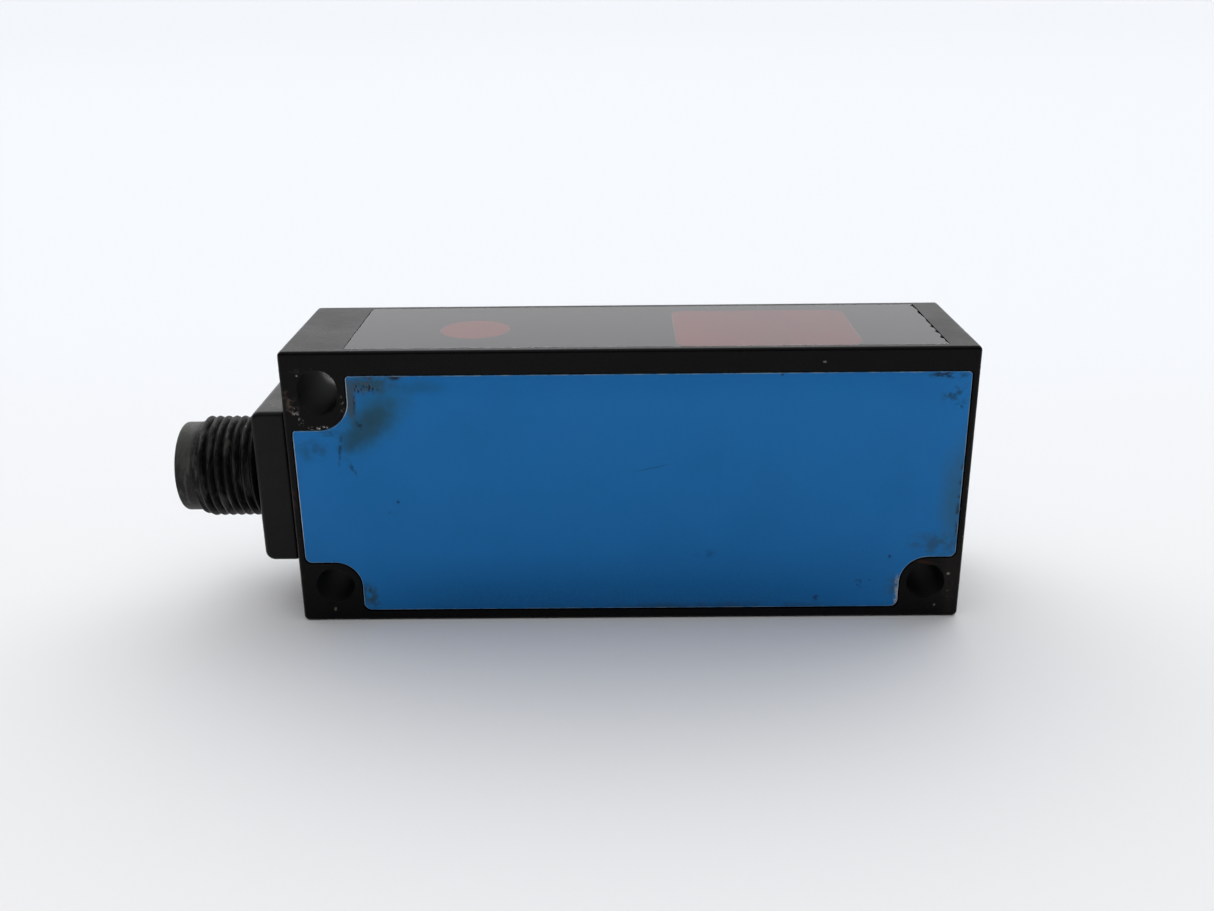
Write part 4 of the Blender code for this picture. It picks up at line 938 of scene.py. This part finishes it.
def makeBlock():
    at = (0, plug["axis"])
    block = addBox("flangeBlock", plug["low"], plug["high"])
    onFace = liesAt(0, plug["low"][0], 0.01)
    bevelEdges(block, lambda edge: onFace(edge) and along(1)(edge), plug["cornerRound"], 6)
    roundEdges(block, plug["sideRound"], 4, 60)
    combine(block, addRod("spigot", *plug["spigot"], at, sides=72), "UNION")
    cutAll(block, *(addRod(name, *plug[name], at, sides=72) for name in ("bore", "sleeveSeat", "threadRelief")))
    for spot in plug["screws"]:
        pocket = addRod("pocket", *plug["pocket"], spot, sides=40)
        cutAll(block, pocket, addRod("clearance", *plug["clearance"], spot, sides=24))
    cleanUp(block)
    roundEdges(block, plug["rim"])
    smooth(block)
    return block


blockLook = {
    "colour": (0.0042, 0.0042, 0.0043), "bloom": (0.010, 0.0098, 0.010), "bloomAmount": 0.4, "cloudScale": 120,
    "dust": (0.03, 0.028, 0.027), "dustAmount": 0.04,
    "speck": (0.3, 0.29, 0.27), "speckScale": 560, "speckShare": 0.03,
    "rough": (0.29, 0.42), "gloss": 0.15, "grainScale": 3000, "grainDepth": 0.00003, "wave": 0.00002,
    "patches": (
        # painted sheen: a lighter grey over the front of the block's top and its rounded front edge
        mark(-40.6, 24.6, 1.8, 0.8, (0.09, 0.085, 0.085), y=-5.0, deep=3.0, fade=0.8, rag=0.6,
             breakUp=(1800, 0.45, 0.65), amount=0.6),
    ),
}
dress(makeBlock(), mouldedBlack("plugBlock", blockLook), replaces=("connector_block",))


def grownRod(name, steps, at, sides=96):
    # a stepped round bar along X: the first ring is a cylinder, each further one is extruded and scaled
    (start, radius), (place, _) = steps[0], steps[1]
    bar = addRod(name, radius, start, place, at, "X", sides)
    for index, (x, wide) in enumerate(steps[1:]):
        mesh = editStart(bar, "FACE")
        pick(bar, mesh.faces, lambda face: face.normal.x > 0.99 and abs(middle(face).x - place * mm) < 0.001 * mm)
        if index:
            bpy.ops.mesh.extrude_region_move(TRANSFORM_OT_translate={"value": ((x - place) * mm, 0, 0)})
        mesh = bmesh.from_edit_mesh(bar.data)
        for face in mesh.faces:
            if face.select:
                centre = middle(face)
                for vert in face.verts:
                    vert.co.yz = centre.yz + (vert.co.yz - centre.yz) * (wide / radius)
        bmesh.update_edit_mesh(bar.data)
        editEnd()
        place, radius = x, wide
    return bar


sleeve = {
    "tip": -53.0, "nose": 5.3, "noseRound": 0.32, "mouthRound": 0.18, "shoulder": -50.95, "root": 5.36,
    "crest": 5.99, "threadStart": -51.17, "startTurn": 0.3, "threadEnd": -42.75, "rear": 5.0, "rearStart": -42.6,
    "end": -39.0, "bore": 4.3, "pitch": 1.0, "turns": 8, "steps": 96, "runOut": 0.35,
    "keyLow": (-52.2, -0.5, 19.2), "keyHigh": (-44.7, 0.5, 20.1),
}


def makeThread():
    # one ridge section swept round the axis by the Screw modifier
    s = sleeve
    half, foot = s["pitch"] * 0.47, s["root"] - 0.25
    flank = ((half, foot), (half, s["root"] + 0.02), (0.24, s["crest"] - 0.22), (0.12, s["crest"] - 0.05))
    section = (*((-x, radius) for x, radius in flank), (0, s["crest"]), *reversed(flank))
    deselectAll()
    bpy.ops.mesh.primitive_circle_add(vertices=len(section), radius=1 * mm)
    thread = bpy.context.object
    thread.name = "threadRidge"
    mesh = editStart(thread, "VERT")
    for vert, (x, radius) in zip(mesh.verts, section):
        vert.co = Vector((x * mm, 0, radius * mm))
    bmesh.update_edit_mesh(thread.data)
    editEnd()
    sweep = thread.modifiers.new("sweep", "SCREW")
    sweep.axis = "X"
    sweep.screw_offset = s["pitch"] * mm
    sweep.iterations = s["turns"]
    sweep.steps = s["steps"]
    sweep.render_steps = s["steps"]
    sweep.use_merge_vertices = False
    applyAll(thread)
    mesh = editStart(thread, "VERT")
    last = len(mesh.verts) / len(section) - 1
    for vert in mesh.verts:
        ring = vert.index // len(section)
        near = min(ring, last - ring) / s["steps"]
        sink = max(0.0, 1 - near / s["runOut"]) ** 2 * (s["crest"] - s["root"] + 0.04) * mm
        spot = vert.co.yz
        vert.co.yz = spot * (1 - sink / spot.length)
    bmesh.update_edit_mesh(thread.data)
    for side in (0, 1):
        bpy.ops.mesh.select_mode(type="EDGE")
        mesh = bmesh.from_edit_mesh(thread.data)
        middleX = sum(v.co.x for v in mesh.verts) / len(mesh.verts)
        pick(thread, mesh.edges, lambda e: e.is_boundary and (middle(e).x > middleX) == bool(side))
        bpy.ops.mesh.edge_face_add()
    bpy.ops.mesh.select_all(action="SELECT")
    bpy.ops.mesh.normals_make_consistent(inside=False)
    editEnd()
    thread.rotation_euler.x = math.tau * s["startTurn"]
    thread.location = (s["threadStart"] * mm, 0, plug["axis"] * mm)
    thread.location.x -= min(v.co.x for v in thread.data.vertices)
    return settle(thread)


def makeSleeve():
    s, at = sleeve, (0, plug["axis"])
    steps = (
        (s["tip"], s["nose"]), (s["shoulder"], s["nose"]), (s["shoulder"] + 0.05, s["root"]),
        (s["threadEnd"], s["root"]), (s["rearStart"], s["rear"]), (s["end"], s["rear"]),
    )
    body = grownRod("threadedSleeve", steps, at)
    bevelEdges(body, liesAt(0, s["tip"]), s["noseRound"], 4)
    combine(body, makeThread(), "UNION")
    cutAll(body, addRod("bore", s["bore"], s["tip"] - 1, s["end"] + 1, at, sides=96))
    combine(body, addBox("codingKey", s["keyLow"], s["keyHigh"]), "UNION")
    cleanUp(body)
    return body


def finishSleeve(body):
    s, onEnd = sleeve, liesAt(0, sleeve["tip"], 0.002)

    def mouth(edge):
        centre = Vector((0, plug["axis"] * mm))
        return onEnd(edge) and all(abs((v.co.yz - centre).length - s["bore"] * mm) < 0.02 * mm for v in edge.verts)
    bevelEdges(body, mouth, s["mouthRound"], 2)
    smooth(body, 35)
    return body


sleeveLook = {
    "colour": (0.0025, 0.0025, 0.0024), "second": (0.0085, 0.0085, 0.008), "noseFrom": (-50.6, -51.4),
    "dustFrom": (13.0, 19.5), "dust": (0.060, 0.062, 0.052), "shade": (0.016, 0.013, 0.0138),
    "drag": (0.085, 0.085, 0.078), "fine": (0.07, 0.068, 0.062), "speck": (0.22, 0.21, 0.19),
    "rough": (0.40, 0.58), "gloss": 0.18,
}


def sleeveMaterial():
    # dusty moulded thread: olive dust on the top of the nose, painted shade on its lower side, drag marks round
    # the nose
    look = sleeveLook
    material, tree, shader = newMaterial("dustyThread")
    x, _, z = spotAxes(tree)
    cloud = remap(tree, noiseField(tree, 160, 4.0, 0.6), 0.35, 0.7)
    base = tint(tree, look["colour"], look["second"], cloud)
    onNose = remap(tree, x, *(v * mm for v in look["noseFrom"]))
    above = remap(tree, z, *(v * mm for v in look["dustFrom"]))
    base = tint(tree, base, look["dust"], maths(tree, "MULTIPLY", onNose, above), 0.85)
    # painted shade: the lower side of the nose gets a darker tone than its dusty top
    base = tint(tree, base, look["shade"], onNose, maths(tree, "SUBTRACT", 1.0, above))
    drag = remap(tree, noiseField(tree, 260, 5.0, 0.65, (4.5, 1, 1), 0.4), 0.5, 0.68)
    base = tint(tree, base, look["drag"], drag, 0.8)
    fine = remap(tree, noiseField(tree, 2600, 3.0, 0.6), 0.5, 0.75)
    base = tint(tree, base, look["fine"], fine, 0.3)
    base = tint(tree, base, look["speck"], specks(tree, 800, 0.1, 0.05))
    tree.links.new(base, shader.inputs["Base Color"])
    rough = remap(tree, noiseField(tree, 300, 4.0, 0.6), 0.3, 0.7, *look["rough"])
    tree.links.new(rough, shader.inputs["Roughness"])
    shader.inputs["Specular IOR Level"].default_value = look["gloss"]
    bump(tree, shader, noiseField(tree, 2200, 3.0, 0.6, (2, 1, 1)), 0.00004)
    return material


dress(finishSleeve(makeSleeve()), sleeveMaterial(), replaces=("threaded_sleeve",))
print("plug: block and thread modelled")


contacts = {
    "radius": 4.2, "face": -44.6, "back": -38.0, "edge": 0.06, "circle": 2.5, "pin": (0.5, -52.0, -36.4),
    "tipRound": 0.34, "gap": 0.06, "well": 0.95, "wellDeep": 0.5, "dimple": 0.7, "dimpleDeep": 0.35,
}


def pinPlaces():
    for index in range(4):
        angle = math.radians(45 + 90 * index)
        yield index + 1, contacts["circle"] * math.cos(angle), plug["axis"] + contacts["circle"] * math.sin(angle)


def makeInsert():
    c, at = contacts, (0, plug["axis"])
    front, back = c["face"] - 1, c["back"] + 1
    insert = addRod("contactInsert", c["radius"], c["face"], c["back"], at)
    cutAll(insert, addRod("dimple", c["dimple"], front, c["face"] + c["dimpleDeep"], at, sides=32))
    for _, *spot in pinPlaces():
        well = addRod("well", c["well"], front, c["face"] + c["wellDeep"], spot, sides=32)
        cutAll(insert, well, addRod("pinBore", c["pin"][0] + c["gap"], front, back, spot, sides=32))
    cleanUp(insert)
    roundEdges(insert, c["edge"])
    smooth(insert)
    return insert


def softPlastic(name, look):
    # a general moulded or coated finish: two tones, grain, a little dust
    material, tree, shader = newMaterial(name)
    scale, stretch = look.get("scale", 200), look.get("stretch", (1, 1, 1))
    field = remap(tree, noiseField(tree, scale, 4.0, 0.6, stretch), 0.35, 0.7)
    colour = tint(tree, look["colour"], look["second"], field)
    if look.get("dust"):
        motes = remap(tree, noiseField(tree, 1500, 4.0, 0.65), 0.56, 0.72)
        colour = tint(tree, colour, look["dust"], motes, 0.4)
    tree.links.new(colour, shader.inputs["Base Color"])
    rough = remap(tree, noiseField(tree, scale * 2.3, 3.0), 0.3, 0.7, *look.get("rough", (0.4, 0.55)))
    tree.links.new(rough, shader.inputs["Roughness"])
    shader.inputs["Metallic"].default_value = look.get("metal", 0.0)
    shader.inputs["IOR"].default_value = 1.5
    if look.get("clear"):
        shader.inputs["Transmission Weight"].default_value = look["clear"]
    grain = noiseField(tree, look.get("grain", 2400), 3.0, 0.55, stretch)
    bump(tree, shader, grain, look.get("grainDepth", 0.00002))
    return material


insertLook = {"colour": (0.010, 0.010, 0.0105), "second": (0.02, 0.0195, 0.019), "dust": (0.09, 0.085, 0.08)}


contactCarrier = softPlastic("contactCarrier", insertLook)
dress(makeInsert(), contactCarrier, replaces=("contact_insert",))

goldLook = {
    "colour": (0.86, 0.60, 0.22), "second": (0.74, 0.50, 0.19), "rough": (0.16, 0.30), "metal": 1.0, "scale": 500,
    "stretch": (0.2, 1, 1), "grainDepth": 0.000004,
}
gold = softPlastic("goldContact", goldLook)
firstPin = None
for number, y, z in pinPlaces():
    if firstPin is None:
        pin = addRod("contactPin1", *contacts["pin"], (y, z), sides=32)
        bevelEdges(pin, liesAt(0, contacts["pin"][1]), contacts["tipRound"], 5)
        smooth(pin, 50)
        firstPin, firstSpot = pin, Vector((0, y, z))
    else:
        pin = firstPin.copy()
        pin.data = firstPin.data.copy()
        pin.name = f"contactPin{number}"
        bpy.context.scene.collection.objects.link(pin)
        pin.data.transform(Matrix.Translation((Vector((0, y, z)) - firstSpot) * mm))
    dress(pin, gold, replaces=(f"contact_pin_{number}",))


flangeScrew = {
    "head": (1.4, -42.15, -41.15), "headRound": 0.28, "shaft": (0.85, -41.45, -36.5), "crossLong": 0.85,
    "crossHalf": 0.16, "crossDeep": 0.55, "turn": 20, "edge": 0.04,
}


def makeFlangeScrew(number, spot):
    f = flangeScrew
    _, top, _ = f["head"]
    screw = addRod(f"flangeScrew{number}", *f["head"], spot, sides=48)
    bevelEdges(screw, liesAt(0, top), f["headRound"], 4)
    combine(screw, addRod("shaft", *f["shaft"], spot, sides=32), "UNION")
    low, high = (-43, -f["crossLong"], -f["crossHalf"]), (top + f["crossDeep"], f["crossLong"], f["crossHalf"])
    for turn in (0, 90):
        arm = addBox("crossRecess", low, high)
        twist = Matrix.Rotation(math.radians(turn + f["turn"] * number), 4, "X")
        arm.data.transform(Matrix.Translation((0, *(v * mm for v in spot))) @ twist)
        cutAll(screw, arm)
    cleanUp(screw)
    roundEdges(screw, f["edge"], 1)
    smooth(screw)
    return screw


steelLook = {
    "colour": (0.50, 0.50, 0.51), "second": (0.38, 0.375, 0.37), "dust": (0.25, 0.22, 0.18), "rough": (0.25, 0.42),
    "metal": 1.0, "scale": 700, "grainDepth": 0.000008,
}
steel = softPlastic("platedSteel", steelLook)
for number, spot in enumerate(plug["screws"], 1):
    dress(makeFlangeScrew(number, spot), steel, replaces=(f"flange_screw_{number}",))
print("plug: insert, pins and screws modelled")


knob = {
    "radius": 2.5, "face": 37.95, "long": 1.35, "edge": 0.07, "rim": 0.32, "dish": -0.10, "slotWide": 0.8,
    "slotDeep": 0.7, "slotLong": 2.05, "slotRound": 0.18, "pointer": (0.5, 0.95, 1.95), "pointerDeep": 0.4,
    "pointerTip": 0.2,
}


def makeKnob(name, y, z, shaft, shaftEnd):
    k, at = knob, (y, z)
    button = addRod(name, k["radius"], k["face"] - k["long"], k["face"], at)
    mesh = editStart(button, "FACE")
    pick(button, mesh.faces, lambda face: face.normal.x > 0.99)
    bpy.ops.mesh.inset(thickness=k["rim"] * mm, depth=k["dish"] * mm)
    editEnd()
    shaftTop = k["face"] - k["long"] + 0.2
    combine(button, addRod("shaft", shaft, shaftEnd, shaftTop, at, sides=40), "UNION")
    slot = addBox("driverSlot", (0, -k["slotLong"], -k["slotWide"] / 2), (3, k["slotLong"], k["slotWide"] / 2))
    bevelEdges(slot, along(0), k["slotRound"], 3)
    slot.data.transform(Matrix.Translation(((k["face"] - k["slotDeep"]) * mm, y * mm, z * mm)))
    half, inner, outer = k["pointer"]
    low, high = (k["face"] - k["pointerDeep"], y - half, z + inner), (k["face"] + 1, y + half, z + outer)
    pointer = addBox("pointer", low, high)
    mesh = editStart(pointer, "EDGE")
    for vert in mesh.verts:
        if vert.co.z > (z + outer) * mm - 0.01 * mm:
            vert.co.y = y * mm + (vert.co.y - y * mm) * k["pointerTip"]
    bmesh.update_edit_mesh(pointer.data)
    editEnd()
    cutAll(button, slot, pointer)
    cleanUp(button)
    roundEdges(button, k["edge"])
    smooth(button)
    return button


knobLook = {
    "colour": (0.60, 0.59, 0.54), "second": (0.52, 0.505, 0.455), "dust": (0.25, 0.22, 0.17), "rough": (0.38, 0.5),
    "scale": 320, "grainDepth": 0.000015,
}
knobPlastic = softPlastic("settingScrew", knobLook)
rangeKnob = makeKnob("rangeAdjuster", 0.0, 21.0, 1.3, 27.7)
dress(rangeKnob, knobPlastic, "range_spindle", ("range_adjuster",))
modeKnob = makeKnob("modeSelector", -4.2, 13.6, 1.2, 30.9)
dress(modeKnob, knobPlastic, "mode_knob", ("mode_selector",))


lightGuide = {"round": 0.45, "faceEdge": 0.25, "proud": 0.08}


def makeLightGuide():
    low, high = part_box("indicator_light_guide")
    guide = addBox("lightGuide", low / mm, high / mm)
    bevelEdges(guide, along(0), lightGuide["round"], 5)
    mesh = editStart(guide, "FACE")
    pick(guide, mesh.faces, lambda face: face.normal.x > 0.99)
    bpy.ops.mesh.inset(thickness=lightGuide["faceEdge"] * mm, depth=0)
    bpy.ops.transform.translate(value=(lightGuide["proud"] * mm, 0, 0))
    editEnd()
    smooth(guide, 40)
    return guide


guideLook = {
    "colour": (0.93, 0.95, 0.95), "scale": 400, "stretch": (1, 1, 1), "rough": (0.08, 0.22), "bumpScale": 900,
    "bump": 0.000003, "shadow": (0.85, 0.85, 0.85),
}
guideAcrylic = acrylic("guideAcrylic", guideLook)
dress(makeLightGuide(), guideAcrylic, replaces=("indicator_light_guide",))
print("controls: knobs and light guide modelled")


# finishes of the pieces that keep their shape, by what they are made of
nodeLooks = {
    "coverPlastic": (("side_cover",), {
        "colour": (0.009, 0.009, 0.0095), "second": (0.016, 0.016, 0.0155), "dust": (0.06, 0.058, 0.055)}),
    "innerMoulding": (("optics_carrier", "lens_carriage", "light_baffle", "mode_switch_body", "board_link"), {
        "colour": (0.010, 0.010, 0.011), "second": (0.018, 0.018, 0.018), "rough": (0.5, 0.65), "scale": 260}),
    "nitrileRubber": (("adjuster_seal", "selector_seal", "block_gasket"), {
        "colour": (0.014, 0.014, 0.014), "second": (0.024, 0.0235, 0.022), "rough": (0.62, 0.8),
        "dust": (0.08, 0.075, 0.07), "scale": 420}),
    "chipResin": (("signal_processor", "receiver_diode", "voltage_regulator"), {
        "colour": (0.018, 0.018, 0.020), "second": (0.030, 0.030, 0.031), "rough": (0.45, 0.6), "grain": 4000}),
    "drawnCan": (("input_capacitor", "output_capacitor"), {
        "colour": (0.72, 0.72, 0.73), "second": (0.60, 0.60, 0.61), "rough": (0.22, 0.36), "metal": 1.0,
        "stretch": (1, 1, 5)}),
    "groundRod": (("guide_rod_far", "guide_rod_near"), {
        "colour": (0.62, 0.62, 0.63), "second": (0.50, 0.50, 0.51), "rough": (0.14, 0.26), "metal": 1.0,
        "stretch": (0.1, 1, 1)}),
    "springSteel": (("board_screw_1", "board_screw_2", "spindle_clip"), {
        "colour": (0.48, 0.48, 0.49), "second": (0.36, 0.36, 0.36), "rough": (0.26, 0.42), "metal": 1.0}),
    "boardLaminate": (("main_board", "control_board", "indicator_board"), {
        "colour": (0.012, 0.085, 0.035), "second": (0.008, 0.060, 0.026), "rough": (0.30, 0.44), "scale": 900,
        "stretch": (1, 1, 0.2)}),
    "diodeRed": (("sender_led",), {
        "colour": (0.45, 0.01, 0.015), "second": (0.33, 0.008, 0.012), "rough": (0.12, 0.22), "clear": 0.5}),
    "diodeGreen": (("power_led_green",), {
        "colour": (0.10, 0.45, 0.12), "second": (0.07, 0.36, 0.09), "rough": (0.15, 0.28), "clear": 0.4}),
    "diodeYellow": (("status_led_yellow",), {
        "colour": (0.75, 0.42, 0.03), "second": (0.62, 0.33, 0.02), "rough": (0.15, 0.28), "clear": 0.4}),
    "wireBrown": (("lead_wire_1",), {"colour": (0.14, 0.055, 0.022), "second": (0.11, 0.042, 0.018)}),
    "wireWhite": (("lead_wire_2",), {"colour": (0.72, 0.72, 0.70), "second": (0.62, 0.61, 0.58)}),
    "wireBlue": (("lead_wire_3",), {"colour": (0.02, 0.07, 0.34), "second": (0.016, 0.055, 0.27)}),
    "wireBlack": (("lead_wire_4",), {"colour": (0.016, 0.016, 0.016), "second": (0.026, 0.026, 0.025)}),
}


def coat(node, material):
    data = nodes[node].data
    data.materials.clear()
    data.materials.append(material)


for finish, (names, look) in nodeLooks.items():
    material = softPlastic(finish, look)
    for node in names:
        coat(node, material)

lensLook = {
    "colour": (0.96, 0.97, 0.97), "scale": 250, "stretch": (1, 1, 1), "rough": (0.01, 0.04), "bumpScale": 300,
    "bump": 0.000001, "shadow": (0.9, 0.9, 0.9),
}
lensAcrylic = acrylic("lensAcrylic", lensLook)
coat("sender_lens", lensAcrylic)
coat("receiver_lens", lensAcrylic)

filterLook = {
    "colour": (0.15, 0.006, 0.010), "second": (0.125, 0.005, 0.009), "warm": (0.175, 0.010, 0.008),
    "warmFrom": (14, 6), "rough": (0.30, 0.42), "gloss": 0.05,
    "corner": 0.6, "inset": 0.03, "padTop": 31.115, "overlap": 0.2,
}


def redFilter():
    # dark red filter sheet, a little warmer at its middle than at its ends
    look = filterLook
    material, tree, shader = newMaterial("redFilterAcrylic")
    cloud = remap(tree, noiseField(tree, 130, 3.0), 0.35, 0.7)
    colour = tint(tree, look["colour"], look["second"], cloud)
    colour = tint(tree, colour, look["warm"], remap(tree, spotAxes(tree)[0], *(v * mm for v in look["warmFrom"])))
    tree.links.new(colour, shader.inputs["Base Color"])
    tree.links.new(remap(tree, noiseField(tree, 500, 3.0), 0.3, 0.7, *look["rough"]), shader.inputs["Roughness"])
    shader.inputs["Specular IOR Level"].default_value = look["gloss"]
    bump(tree, shader, noiseField(tree, 900, 2.0), 0.000006)
    return material


def makeFilter():
    # a plate with two raised pads that fill the mask's windows up to the pane
    low, high = (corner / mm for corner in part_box("red_filter"))
    plate = addBox("redFilter", low, high)
    bevelEdges(plate, along(2), filterLook["corner"], 5)
    inset, top, foot = filterLook["inset"], filterLook["padTop"], high.z - filterLook["overlap"]
    disc = addRod("disc", pane["roundRadius"] - inset, foot, top, (pane["roundAt"], 0), "Z", 96)
    (x0, y0), (x1, y1) = pane["squareLow"], pane["squareHigh"]
    pad = addBox("pad", (x0 + inset, y0 + inset, foot), (x1 - inset, y1 - inset, top))
    bevelEdges(pad, along(2), pane["squareRound"] - inset, 8)
    combine(plate, disc, "UNION")
    combine(plate, pad, "UNION")
    cleanUp(plate)
    smooth(plate, 40)
    return plate


dress(makeFilter(), redFilter(), replaces=("red_filter",))
print("inside: finishes laid on the kept pieces")
